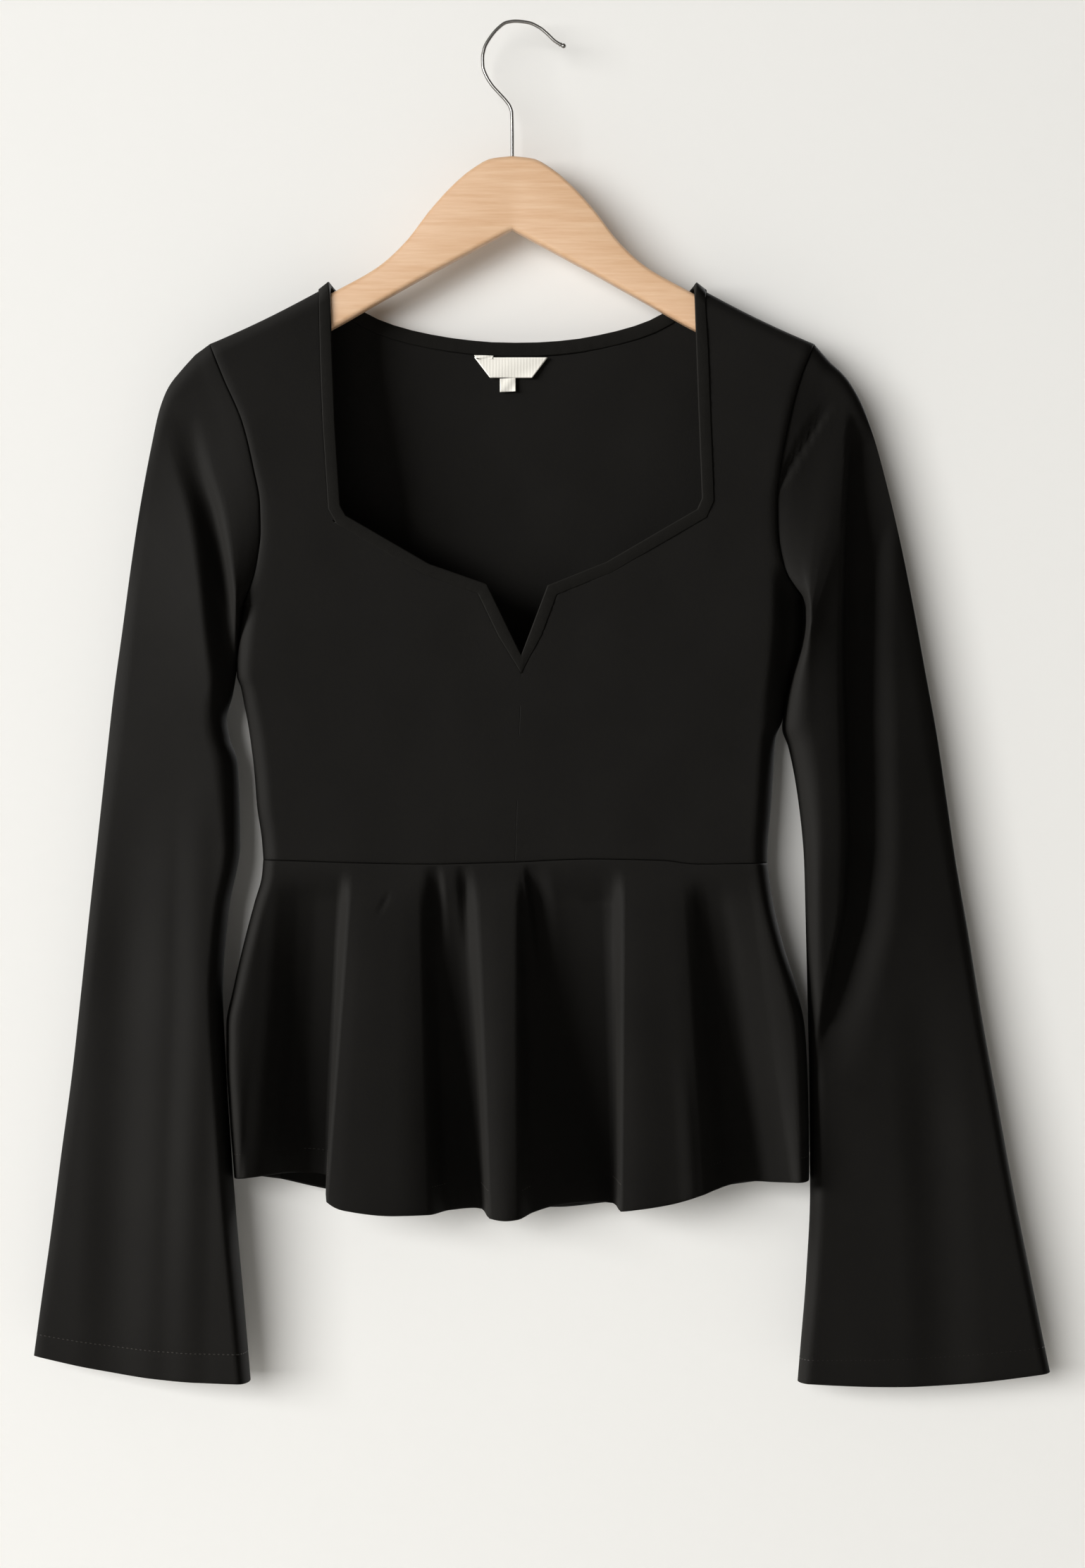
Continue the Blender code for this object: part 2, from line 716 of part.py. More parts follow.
def cloth(name, grids, rims, material):
    """A wall of cloth inside the sheets given by grids of outer points."""
    bm = bmesh.new()
    for grid in grids:
        add_grid(bm, grid)
    bmesh.ops.remove_doubles(bm, verts=bm.verts, dist=0.001)
    bmesh.ops.recalc_face_normals(bm, faces=bm.faces)
    facing = sum(face.normal.y * face.calc_center_median().y for face in bm.faces)
    if facing < 0.0:
        bmesh.ops.reverse_faces(bm, faces=bm.faces)
    bm.normal_update()
    faces = list(bm.faces)
    rim_edges = [edge for edge in bm.edges if edge.is_boundary]
    inner = {}
    for vert in list(bm.verts):
        turn = rims.get(place_key(vert.co))
        out = turn(vert.normal) if turn else vert.normal
        inner[vert] = bm.verts.new(vert.co - WALL * out)
    for face in faces:
        bm.faces.new([inner[vert] for vert in reversed(face.verts)])
    for edge in rim_edges:
        a, b = edge.verts
        bm.faces.new((a, b, inner[b], inner[a]))
    return add_object(name, bm, material)


def loft(name, sections, material):
    """A solid through closed sections of equal point counts, capped at both ends."""
    bm = bmesh.new()
    rings = [[bm.verts.new(place) for place in section] for section in sections]
    for low, high in zip(rings, rings[1:]):
        for i in range(len(low)):
            j = (i + 1) % len(low)
            bm.faces.new((low[i], low[j], high[j], high[i]))
    bm.faces.new(list(reversed(rings[0])))
    bm.faces.new(rings[-1])
    return add_object(name, bm, material)


def binding(name, face, width, material):
    """Neck band along the whole finished neckline, shoulder to shoulder."""
    top = BAND_RISE
    foot = BAND_RISE - BAND_THICKNESS
    outline = (
        (0.0, foot + 0.7),
        (0.8, foot),
        (width - 0.5, foot),
        (width, foot + 0.4),
        (width, top - 0.4),
        (width - 0.5, top),
        (0.8, top),
        (0.0, top - 0.7),
    )
    left = neck_rows(face, LEFT)
    right = neck_rows(face, RIGHT)
    sections = []
    for place, step, depth, out in list(reversed(left)) + right[1:]:
        base = point(place[0], place[1], face * (SEAM / 2.0 + depth))
        across = Vector((step.x, 0.0, -step.y))
        sections.append([base + across * w + out * h for w, h in outline])
    return loft(name, sections, material)


def patch(name, top_drop, height, top_width, foot_width, centre, gap, material):
    """A flat piece of tape lying on the inside of the back panel."""
    bm = bmesh.new()
    columns = 4
    rows = 2
    grids = []
    for lift in (gap, gap + LABEL_THICKNESS):
        grid = []
        for i in range(rows + 1):
            t = i / rows
            drop = top_drop + t * height
            half = (top_width + t * (foot_width - top_width)) / 2.0
            y = SEAM / 2.0 + panel_depth(BACK, drop) - WALL - lift
            grid.append([point(centre + half * (2.0 * j / columns - 1.0), drop, y) for j in range(columns + 1)])
        grids.append(grid)
    near, far = grids
    add_grid(bm, near)
    add_grid(bm, far)
    rim_near = near[0] + [row[-1] for row in near[1:]] + near[-1][-2::-1] + [row[0] for row in near[-2:0:-1]]
    rim_far = far[0] + [row[-1] for row in far[1:]] + far[-1][-2::-1] + [row[0] for row in far[-2:0:-1]]
    add_grid(bm, [rim_near + rim_near[:1], rim_far + rim_far[:1]])
    bmesh.ops.remove_doubles(bm, verts=bm.verts, dist=0.001)
    return add_object(name, bm, material)


def hanger_arm(material):
    """The wooden arm: its outline, thickened and rounded, with the hook's hole."""
    xs = WOOD_ARM["x"]
    stations = [xs[-1] * i / 14.0 for i in range(15)]
    top = [(x, through(xs, WOOD_ARM["top"], x)) for x in stations]
    bottom = [(x, through(xs, WOOD_ARM["bottom"], x)) for x in stations]
    half = top + [(WOOD_TIP_X, WOOD_TIP_DROP)] + bottom[::-1]
    mirrored = [(-x, drop) for x, drop in reversed(half) if x > 0.0]
    outline = half + mirrored
    bm = bmesh.new()
    near = [bm.verts.new(point(x, drop, -WOOD_THICKNESS / 2.0)) for x, drop in outline]
    face = bm.faces.new(near)
    grown = bmesh.ops.extrude_face_region(bm, geom=[face])
    raised = [item for item in grown["geom"] if isinstance(item, bmesh.types.BMVert)]
    bmesh.ops.translate(bm, vec=(0.0, WOOD_THICKNESS, 0.0), verts=raised)
    wood = add_object("hanger_arm", bm, material)
    rounding = wood.modifiers.new("rounded edges", "BEVEL")
    rounding.width = WOOD_ROUNDING * MM
    rounding.segments = 2
    rounding.limit_method = "ANGLE"
    rounding.angle_limit = 1.0

    drill = bmesh.new()
    bmesh.ops.create_cone(
        drill,
        cap_ends=True,
        segments=12,
        radius1=WIRE_RADIUS + SEAM,
        radius2=WIRE_RADIUS + SEAM,
        depth=2.0 * HOLE_DEPTH,
    )
    top_drop = WOOD_ARM["top"][0]
    bmesh.ops.translate(drill, vec=(0.0, 0.0, -top_drop), verts=drill.verts)
    cutter = add_object("hook_hole_cutter", drill, material)
    cutter.hide_render = True
    cutter.display_type = "WIRE"
    hole = wood.modifiers.new("hook hole", "BOOLEAN")
    hole.object = cutter
    hole.operation = "DIFFERENCE"
    return wood


def hook(material):
    """The hook: round wire bent in one plane, with a ball at its tip."""
    keys = [0.0]
    places = list(zip(HOOK_BEND["x"], HOOK_BEND["drop"]))
    for a, b in zip(places, places[1:]):
        keys.append(keys[-1] + hypot(b[0] - a[0], b[1] - a[1]))
    end = keys[-1]
    bend_start = keys[2]
    cuts = [0.0, bend_start / 2.0]
    reach = end - 2.0 * TIP_RADIUS - bend_start
    cuts += [bend_start + reach * i / WIRE_STATIONS for i in range(WIRE_STATIONS + 1)]
    ball = end - TIP_RADIUS
    neck = sqrt(TIP_RADIUS ** 2 - WIRE_RADIUS ** 2)
    cuts += [ball - neck, ball - neck / 2.0, ball, ball + TIP_RADIUS * 0.6, ball + TIP_RADIUS * 0.95]

    def middle(at):
        return Vector((through(keys, HOOK_BEND["x"], at), 0.0, -through(keys, HOOK_BEND["drop"], at)))

    sections = []
    for at in cuts:
        step = 0.4
        ahead = (middle(min(at + step, end)) - middle(max(at - step, 0.0))).normalized()
        side = Vector((0.0, 1.0, 0.0))
        up = ahead.cross(side)
        radius = WIRE_RADIUS
        if at > ball - neck:
            radius = sqrt(max(TIP_RADIUS ** 2 - (at - ball) ** 2, 0.04))
        turns = [2.0 * pi * i / WIRE_SIDES for i in range(WIRE_SIDES)]
        sections.append([middle(at) + radius * (cos(a) * side + sin(a) * up) for a in turns])
    return loft("hanger_hook", sections, material)


def build():
    for item in list(bpy.data.objects):
        bpy.data.objects.remove(item, do_unlink=True)

    knit = (0.011, 0.010, 0.009)
    for name, face in (("front_bodice", FRONT), ("back_bodice", BACK)):
        rims = {}
        halves = [bodice_half(face, side, rims) for side in (LEFT, RIGHT)]
        cloth(name, halves, rims, new_material(name + " knit", knit, 0.85))
    for name, face in (("front_peplum", FRONT), ("back_peplum", BACK)):
        rims = {}
        cloth(name, [peplum_grid(face, rims)], rims, new_material(name + " knit", knit, 0.85))
    for name, side in (("left_sleeve", LEFT), ("right_sleeve", RIGHT)):
        rims = {}
        cloth(name, [sleeve_rings(side, rims)], rims, new_material(name + " knit", knit, 0.85))
    binding("front_neck_binding", FRONT, FRONT_BAND, new_material("front band knit", knit, 0.85))
    binding("back_neck_binding", BACK, BACK_BAND, new_material("back band knit", knit, 0.85))

    satin = (0.85, 0.84, 0.80)
    label_gap = SEAM
    patch("neck_label", LABEL_TOP_DROP, LABEL_HEIGHT, LABEL_TOP_WIDTH, LABEL_FOOT_WIDTH,
          LABEL_CENTRE, label_gap, new_material("label satin", satin, 0.5))
    patch("size_tab", LABEL_TOP_DROP + LABEL_HEIGHT + SEAM, TAB_HEIGHT, TAB_WIDTH, TAB_WIDTH,
          TAB_CENTRE, label_gap, new_material("tab satin", satin, 0.5))

    hanger_arm(new_material("lacquered beech", (0.73, 0.52, 0.33), 0.4))
    hook(new_material("polished steel", (0.72, 0.72, 0.73), 0.2, 1.0))


build()
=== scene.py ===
"""Looks of a black double-knit peplum top on a wooden hanger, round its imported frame.

Table lengths are millimetres. X runs to the right as the front is seen, -Y is
the side the front faces and Z is up. The origin is the inner top of the hook,
and a drop is a length below it. Each sheet of cloth starts as a flat grid that
is laid onto the hung form; the sewing and the creases are added on the way.
"""

from math import cos, hypot, pi, radians, sin, sqrt
from random import Random

import bmesh
import bpy
from mathutils import Matrix, Vector, noise


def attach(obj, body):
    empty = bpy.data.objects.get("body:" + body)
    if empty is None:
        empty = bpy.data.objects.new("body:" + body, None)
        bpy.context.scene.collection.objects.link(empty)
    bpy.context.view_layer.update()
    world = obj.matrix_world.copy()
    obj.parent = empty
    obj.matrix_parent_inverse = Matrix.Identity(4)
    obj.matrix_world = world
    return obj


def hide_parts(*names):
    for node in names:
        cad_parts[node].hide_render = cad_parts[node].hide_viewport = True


MM = 0.001

# The photo: its height in pixels, and the millimetres in one of them
IMAGE_HEIGHT = 2225
PIXEL = 0.45

LEFT = -1
RIGHT = 1
FRONT = -1
BACK = 1
SIDE_NAME = {LEFT: "left", RIGHT: "right"}
FACE_NAME = {FRONT: "front", BACK: "back"}

# Cloth
WALL = 1.4
SEAM = 0.3
HEM_DEPTH = 17.0
HEM_WALL = 2.5
THREAD_LIFT = 0.05
SEAM_ROLL = 0.9
NECK_ROLL = 0.3
ROLL_REACH = 1.3
HEM_ROLL = 0.8
SIDE_TURN = 0.6
STITCH_SINK = 0.4
STITCH_REACH = 1.6
STITCH_PITCH = 3.0
STITCH_LENGTH = 2.2
THREAD_RADIUS = 0.28
THREAD_FLATNESS = 0.8
ALLOWANCE_WIDTH = 9.0
ALLOWANCE_RISE = 0.15
BAND_WIDTH = {FRONT: 8.0, BACK: 9.0}
BAND_RISE = 0.5
BAND_THICKNESS = 2.4
BAND_LAP = 0.5
BAND_ROUNDING = 0.9
BAND_STEP = 1.6
BAND_PUCKER = 0.12
V_MITRE = 1.5
MITRE_LIMIT = 0.5
MESH_STEP = 2.4
WELD = 0.002
BODICE_COLUMNS = 60

# The band's bunched edge, where it turns over the wood
BULK = 2.6
BULK_DROP = 169.0
BULK_REACH = 9.0

# Slow unevenness of hanging cloth
SWAY_ACROSS = 42.0
SWAY_DOWN = 65.0
SWAY_DEPTH = 0.5

# Folded edges
SHOULDER_FOLD = 10.0
SIDE_FOLD = 11.0
UNDERARM_FOLD = 12.0
EDGE_STEPS = (0.0, 1.2, 4.0, 9.0)
FINE_EDGE = (0.0, 0.25, 0.6, 1.1, 1.8, 2.8, 4.0, 5.5, 7.2, 9.0, 11.0, 13.0, 15.0)
FINE_STOP = (3.0, 1.8, 1.0, 0.4, 0.0)
ARMHOLE_SPANS = 10
SHOULDER_UP = Vector((0.45, 0.0, 0.89))

# Bodice
SHOULDER_DROP = 205.0
UNDERARM_DROP = {LEFT: 371.0, RIGHT: 368.0}
WAIST_DROP = 535.5
WAIST_CENTRE = 2.0
LOWER_ROWS = 6
WAIST_ATS = (0.0, 0.012, 0.03, 0.055)
MIDDLE_SHARE = 0.7
SHOULDER_SAG = 1.8
ARMHOLE_DEPTH = 0.85
BACK_DEPTH = 0.9

# Peplum
HEM_FLARE = 8.0
PEPLUM_LENGTH = 218.0
PEPLUM_STEP = 1.7
PEPLUM_ROWS = 90
PEPLUM_SEAM_SHARES = (0.0, 0.0015, 0.004, 0.008)
PEPLUM_HEM_SHARES = (0.992, 0.996, 0.9985, 1.0)
PEPLUM_TURNED_ROWS = 11
PEPLUM_EDGE_SHARES = (0.0, 0.012, 0.03, 0.06, 0.1, 0.16, 0.24, 0.34, 0.46, 0.6, 0.74, 0.88)
FOLD_RISE = 0.68
FOLD_START = 0.13
SKIRT_SIDE_FOLD = 9.0
WAIST_WAVE_REACH = 90.0

# Sleeves
SLEEVE_COLUMNS = 46
USUAL_SLEEVE_WIDTH = 110.0
ARMHOLE_GAP = 10.0
SEAM_CALM = 3.0
ARMHOLE_ATS = (0.0, 0.03, 0.08, 0.15, 0.25, 0.4, 0.6, 0.8)
FOLD_SOFT = 4.0
SLEEVE_TURNED_ROWS = 10
CUFF_ATS = (0.03, 0.015, 0.005, 0.0)
BOW_POWER = 6

# Millimetres between the last two lines of each sleeve
CUFF_GAP = {LEFT: 39.0, RIGHT: 25.3}

# Label and size tab
LABEL_TOP_DROP = 212.8
LABEL_HEIGHT = 13.0
LABEL_TOP_WIDTH = 47.0
LABEL_FOOT_WIDTH = 27.0
LABEL_CENTRE = -0.8
TAPE_WALL = 0.35
TAB_WIDTH = 10.0
TAB_HEIGHT = 8.6
TAB_CENTRE = -2.9
TAB_TILT = -0.05
TAPE_LIFT = 0.35
TAPE_CURL = 0.25
TAPE_WAVE = 0.12
TACK_PLACES = ((-23.8, 213.2), (-20.8, 213.9))
TACK_DEPTH = 1.3

# Hanger
WOOD_THICKNESS = 12.0
WOOD_ROUNDING = 3.4
WOOD_TIP_X = 203.0
WOOD_TIP_DROP = 226.2
WIRE_RADIUS = 1.1
TIP_RADIUS = 1.6
COLLAR_RISE = 0.35


def table(names, *rows):
    """A table by column name, from its rows."""
    return dict(zip(names.split(), zip(*rows)))


# How far the front stands out from the middle plane at each drop.
BODICE_DEPTH = table(
    "drop depth",
    (160, 9.5),
    (200, 9.5),
    (260, 11.5),
    (330, 14),
    (420, 16),
    (536, 16),
)

# Armhole seam down to the underarm, then the side seam down to the waist.
BODY_EDGE = table(
    "drop left right",
    (205, -193, 192.8),
    (228, -183.6, 183.6),
    (256, -171.5, 176),
    (285, -164.3, 170.6),
    (308, -160.2, 168.4),
    (326, -159.8, 168.8),
    (342, -161.6, 171.2),
    (353, -163.8, 175.4),
    (361, -166.6, 180.6),
    (368, -169.6, 186),
    (371, -171.4, 186.8),
    (380, -172.8, 187.2),
    (397, -174.8, 185.6),
    (412, -176, 181.2),
    (418, -175.6, 179.4),
    (424, -173.4, 177.6),
    (437, -170.8, 174.4),
    (446, -169, 172.6),
    (456, -167.4, 168.6),
    (478, -164.7, 167),
    (501, -162.9, 165.4),
    (522, -159.9, 163.4),
    (536, -158.9, 162.9),
)

# Finished front neckline, from the bottom of the V to the fold at the shoulder.
FRONT_NECK = table(
    "left_x left_drop right_x right_drop steps",
    (5.9, 404.1, 5.9, 404.1, 3),
    (-15.8, 359.1, 22.5, 360, 2),
    (-52, 346.5, 60, 345, 3),
    (-105.4, 315.5, 117.6, 311.4, 1),
    (-109, 309, 120.6, 304.6, 2),
    (-112.5, 255.6, 118.4, 246.6, 2),
    (-115.7, 176.5, 116.1, 177, 0),
    (-115.7, 167.5, 116.1, 168, 0),
)

# Finished back neckline, from its lowest point to the fold at the shoulder.
BACK_NECK = table(
    "left_x left_drop right_x right_drop steps",
    (2, 203.2, 2, 203.2, 1),
    (-13, 202.9, 16, 203, 1),
    (-26, 201.8, 30, 202.1, 1),
    (-39, 200.2, 43, 200.6, 1),
    (-52, 198, 55, 198.4, 1),
    (-64, 195.4, 67, 195.7, 1),
    (-76, 192, 78, 192.6, 1),
    (-86, 188.2, 88, 188.9, 1),
    (-96.5, 182.8, 98, 183.7, 1),
    (-109.2, 173.8, 109.6, 174.3, 0),
    (-115.7, 167.5, 116.1, 168, 0),
)

# Side edges of the peplum.
PEPLUM_EDGE = table(
    "drop left right",
    (535, -158.9, 162.9),
    (546, -159.8, 164.3),
    (562, -164.3, 166.8),
    (587, -171, 172.8),
    (617, -178, 181.8),
    (640, -182.4, 186.6),
    (662, -182.3, 188.1),
    (690, -180.7, 189),
    (722, -178.4, 189.4),
    (745, -176.8, 189.5),
)

# Ridges and hollows of the peplum, left to right. Height is toward the outside.
FRONT_LINES = table(
    "waist_x hem_x height hem_drop",
    (-155, -172, -3, 736),
    (-149, -162, -6, 735),
    (-141, -151, -14, 734.2),
    (-133, -143, -21, 734),
    (-122, -132, -25, 734),
    (-108.5, -119.5, -25, 735.5),
    (-101.5, -116.5, 13, 748.5),
    (-92, -105, 14.5, 754),
    (-74, -74, 13, 757.5),
    (-60, -52, 8.5, 757.3),
    (-50, -40, -10, 756.5),
    (-37, -24, -14, 755.5),
    (-31, -19, -12, 756),
    (-22.5, -14, 12.5, 759),
    (-10, -4, 14.5, 760.5),
    (2, 4, 13, 759.8),
    (7, 13, -1, 757),
    (12, 28, -10, 753.6),
    (18, 43, -17, 752.6),
    (27, 56, -21.5, 752.8),
    (62, 65, -24.5, 753.6),
    (70.5, 68.5, 13, 754.6),
    (78, 77, 13.5, 753.8),
    (96, 100, 11, 750.5),
    (107, 120, 8, 745),
    (112, 128, 2, 742.5),
    (117, 137, -8, 740.5),
    (122, 146, -13.5, 739),
    (129, 155, -14.5, 738.6),
    (139, 166, -9.5, 738.6),
    (149, 177.5, -6, 738.6),
)
BACK_LINES = table(
    "waist_x hem_x height hem_drop",
    (-138, -150, 7, 741.3),
    (-108, -118, -6, 746.6),
    (-76, -84, 7, 753),
    (-44, -47, -7, 756),
    (-10, -10, 8, 758),
    (24, 28, -6, 758),
    (58, 66, 7, 756),
    (90, 104, -7, 751),
    (120, 138, 6, 745.5),
    (142, 166, -3, 740.5),
)
EDGE_HEM_DROP = {LEFT: 736.5, RIGHT: 738}

# Lines across each sleeve, from its outer fold to its underarm fold.
SLEEVE_LINES = {
    LEFT: table(
        "outer_x outer_drop inner_x inner_drop",
        (-202.5, 212, -172.1, 378),
        (-211.5, 222, -173, 385),
        (-219.5, 232.5, -173.8, 392),
        (-225, 246, -174.6, 399),
        (-231, 273, -175.3, 407),
        (-238, 311, -176.4, 417),
        (-243.2, 345, -178.6, 430),
        (-249, 388, -182.2, 444),
        (-254.5, 428, -180.2, 457),
        (-259, 468, -175.2, 474),
        (-265, 523, -173.6, 523),
        (-270, 568, -180.8, 566),
        (-275.5, 620, -184.7, 618),
        (-281, 670, -182.6, 670),
        (-288, 722, -179.3, 722),
        (-294.5, 772, -175.3, 772),
        (-301, 818, -170.8, 822),
        (-305.5, 851, -167, 866.5),
    ),
    RIGHT: table(
        "outer_x outer_drop inner_x inner_drop",
        (203.5, 217, 187, 375),
        (212.9, 226, 187, 383),
        (221.9, 240.3, 186.2, 391),
        (230.9, 264.6, 184.6, 399),
        (240, 298, 181.6, 409),
        (248, 332, 178, 420),
        (256.5, 374, 174.4, 435),
        (264, 415, 172.4, 450),
        (270.8, 452, 176.4, 463),
        (277, 493, 182, 492),
        (283, 534, 186.3, 534),
        (291, 580, 187.5, 578),
        (300, 635, 188.8, 632),
        (310, 690, 189.9, 688),
        (320, 745, 190.2, 745),
        (330, 795, 187.8, 798),
        (338, 835, 184.2, 843),
        (343.4, 861, 182.2, 867),
    ),
}

# Depth of both sleeves at each of these lines, and how far the cloth sags there.
SLEEVE_DEPTH = (9.5, 9.8, 10.2, 10.8, 11.4) + (12,) * 8 + (12.5, 13, 13, 12, 11)
SLEEVE_SAG = {LEFT: (0,) * 15 + (0.5, 2, 4.5), RIGHT: (0,) * 15 + (0.5, 2, 5)}

# How much of the armhole seam's bow a sleeve keeps at its first lines.
SEAM_PULL = (1, 0.5, 0.25, 0.1, 0)

# How far in from its outer and inner fold a sleeve reaches its full depth.
SLEEVE_FOLDS = table(
    "drop outer inner",
    (230, 11, 18),
    (430, 11, 18),
    (560, 8, 9),
    (870, 6, 7),
)

# How steeply each sleeve's front rises from its outer fold to its inner one.
SLEEVE_TILT = table(
    "drop left right",
    (230, 0.05, 0.05),
    (330, 0.2, 0.2),
    (430, 0.16, 0.2),
    (520, 0.16, 0.18),
    (640, 0.19, 0.08),
    (740, 0.18, 0.03),
    (870, 0.12, 0.02),
)

# How far the front waist seam runs below its mean height.
WAIST_WAVE = table(
    "x shift",
    (-160, -1.3),
    (-53, 1.4),
    (-1, 0.2),
    (51, -1.8),
    (96, -0.9),
    (118, 1.4),
    (163, 0.9),
)

# Soft creases, listed one by one. Each path is of places (x, drop, share of the
# depth) from its top down; the cloth sinks by the depth, or rises where it is
# below zero, over a width to either side as the front is seen.
CREASES = table(
    "piece face left_width right_width depth path",
    ("left_sleeve", FRONT, 17, 8, 13.5, (
        (-207, 250, 0), (-199.5, 285, 0.32), (-191, 314, 0.65), (-183.5, 357, 0.95), (-180, 388, 1),
        (-176.5, 418, 0.8), (-174, 455, 0))),
    ("left_sleeve", FRONT, 26, 26, 3, (
        (-238, 480, 0), (-246, 620, 1), (-250, 740, 1), (-254, 875, 0.6))),
    ("left_sleeve", FRONT, 16, 16, -2, (
        (-200, 480, 0), (-200, 600, 1), (-204, 720, 1), (-208, 875, 0.4))),
    ("left_sleeve", BACK, 18, 18, 6, ((-205, 270, 0), (-212, 420, 1), (-208, 640, 0))),
    ("left_sleeve", BACK, 14, 20, -2, ((-235, 430, 0), (-240, 600, 1), (-250, 875, 0.6))),
    ("right_sleeve", FRONT, 5.5, 32, 12.5, (
        (219, 250, 0), (217.5, 285, 0.6), (215.5, 320, 0.9), (213.5, 393, 1), (214.5, 450, 1),
        (216, 517, 1), (214, 560, 0.85), (206, 605, 0.6), (199, 640, 0.3), (193, 675, 0))),
    ("right_sleeve", FRONT, 24, 4.5, -1.6, (
        (214, 240, 0), (211.5, 290, 0.8), (208, 348, 1), (206.5, 400, 1), (207, 450, 1),
        (208, 520, 0.8), (204, 580, 0))),
    ("right_sleeve", FRONT, 5, 3.4, 2.2, (
        (204, 240, 0), (190, 262, 0.9), (178, 281, 1), (168, 300, 0.4), (164, 308, 0))),
    ("right_sleeve", FRONT, 26, 26, 2, ((262, 600, 0), (268, 720, 1), (276, 875, 0.6))),
    ("right_sleeve", BACK, 18, 18, 6, ((212, 280, 0), (222, 430, 1), (226, 660, 0))),
    ("right_sleeve", BACK, 20, 20, -2, ((250, 450, 0), (262, 620, 1), (280, 875, 0.5))),
    ("front_bodice", FRONT, 13, 30, 9, (
        (176, 345, 0), (178, 375, 1), (176, 405, 1), (171, 440, 0.5), (166, 500, 0.2), (163, 535, 0))),
    ("back_bodice", BACK, 30, 30, 1.5, ((-60, 300, 0), (-62, 420, 1), (-64, 530, 0.5))),
    ("back_bodice", BACK, 30, 30, 1.5, ((66, 310, 0), (64, 430, 1), (62, 530, 0.5))),
    ("front_peplum", FRONT, 9, 5, 2.8, ((-48, 537, 0.2), (-47, 551, 1), (-44, 595, 0))),
    ("front_peplum", FRONT, 7, 4, 2.6, ((-30, 537, 0.2), (-29, 551, 1), (-26, 595, 0))),
    ("front_peplum", FRONT, 5, 14, 3.6, ((11, 538, 0.1), (14, 558, 1), (20, 610, 0))),
    ("front_peplum", FRONT, 9, 6, -0.8, ((108, 650, 0), (112, 715, 1), (114, 758, 1))),
    ("front_peplum", FRONT, 3, 3, 0.6, ((-77, 553, 0), (-80.5, 560, 1), (-86, 569, 0))),
    ("front_peplum", FRONT, 3.5, 3.5, 1, ((61, 554, 0), (56, 562, 1), (48, 573, 0))),
)

# Upper and lower edges of the hanger's wooden arm, from its middle outward.
WOOD_ARM = table(
    "x top bottom",
    (0, 85.5, 132.5),
    (13, 87, 139.5),
    (26, 94, 146.5),
    (38, 104.2, 153),
    (52, 119.5, 160.5),
    (68, 140.2, 169.5),
    (85, 155.8, 179),
    (115, 172.9, 196),
    (130, 181.4, 203.2),
    (150, 190.8, 212.4),
    (180, 205.5, 225),
    (193, 213.5, 229.5),
    (200, 221, 231),
)

# Middle of the hook's wire, from the end in the wood to the ball at its tip.
HOOK_BEND = table(
    "x drop",
    (0, 97),
    (0, 76),
    (-0.3, 57.4),
    (-1.4, 53.6),
    (-4.2, 49.5),
    (-8.3, 45),
    (-13, 39.7),
    (-16.8, 33.4),
    (-18.7, 27.7),
    (-18.9, 22.6),
    (-17.8, 16.3),
    (-14.3, 9.7),
    (-9.2, 3.6),
    (-3.6, -0.3),
    (2, -1.1),
    (10.3, -0.2),
    (17.3, 2.9),
    (22.3, 6.9),
    (27.4, 11.7),
    (32.4, 14.5),
    (34.3, 15.1),
)


def slope_at(keys, values, index):
    """Slope of a smooth curve at one row, level wherever the rows turn back."""
    last = len(keys) - 1
    if index in (0, last):
        start = min(index, last - 1)
        return (values[start + 1] - values[start]) / (keys[start + 1] - keys[start])
    before = (values[index] - values[index - 1]) / (keys[index] - keys[index - 1])
    after = (values[index + 1] - values[index]) / (keys[index + 1] - keys[index])
    if before * after <= 0.0:
        return 0.0
    return 2.0 * before * after / (before + after)


def through(keys, values, at):
    """Value at a key on the smooth curve through a table's rows."""
    at = min(max(at, keys[0]), keys[-1])
    row = 0
    while row < len(keys) - 2 and at > keys[row + 1]:
        row += 1
    span = keys[row + 1] - keys[row]
    t = (at - keys[row]) / span
    rise = values[row + 1] - values[row]
    leave = slope_at(keys, values, row) * span
    reach = slope_at(keys, values, row + 1) * span
    bend = leave + reach - 2.0 * rise
    return values[row] + t * (leave + t * (3.0 * rise - 2.0 * leave - reach + t * bend))


def rounded(distance, reach):
    """Quarter-round rise from 0 at a folded edge to 1 at its reach."""
    t = min(max(distance / reach, 0.0), 1.0)
    return sqrt(1.0 - (1.0 - t) ** 2)


def bell(t):
    """Soft hump of height 1 that ends at -1 and 1."""
    if abs(t) >= 1.0:
        return 0.0
    return 0.5 + 0.5 * cos(pi * t)


def between(values, at):
    """Value at a fractional place in a list, straight between its entries."""
    low = min(int(at), len(values) - 2)
    return values[low] + (at - low) * (values[low + 1] - values[low])


def point(x, drop, y):
    """A place in the object's frame, in millimetres."""
    return Vector((x, y, -drop))


def part_way(start, end, t):
    """The place (x, drop) at a share of the way from one to another."""
    return start[0] + t * (end[0] - start[0]), start[1] + t * (end[1] - start[1])


def look_up(rows, column, at):
    """Value in a column of a table where its first column has a key."""
    return through(next(iter(rows.values())), rows[column], at)


def body_edge(side, drop):
    """Where the armhole or side seam lies at a drop."""
    return look_up(BODY_EDGE, SIDE_NAME[side], drop)


def panel_depth(face, drop):
    """How far a bodice panel stands from the middle plane."""
    depth = look_up(BODICE_DEPTH, "depth", drop)
    return depth if face == FRONT else depth * BACK_DEPTH


def walk(path, distances):
    """Places at given distances along a polyline of (x, drop)."""
    places = []
    for distance in distances:
        left = distance
        for start, end in zip(path, path[1:]):
            length = hypot(end[0] - start[0], end[1] - start[1])
            if left <= length or end is path[-1]:
                places.append(part_way(start, end, left / length))
                break
            left -= length
    return places


def path_length(path):
    """Length of a polyline of (x, drop)."""
    return sum(hypot(b[0] - a[0], b[1] - a[1]) for a, b in zip(path, path[1:]))


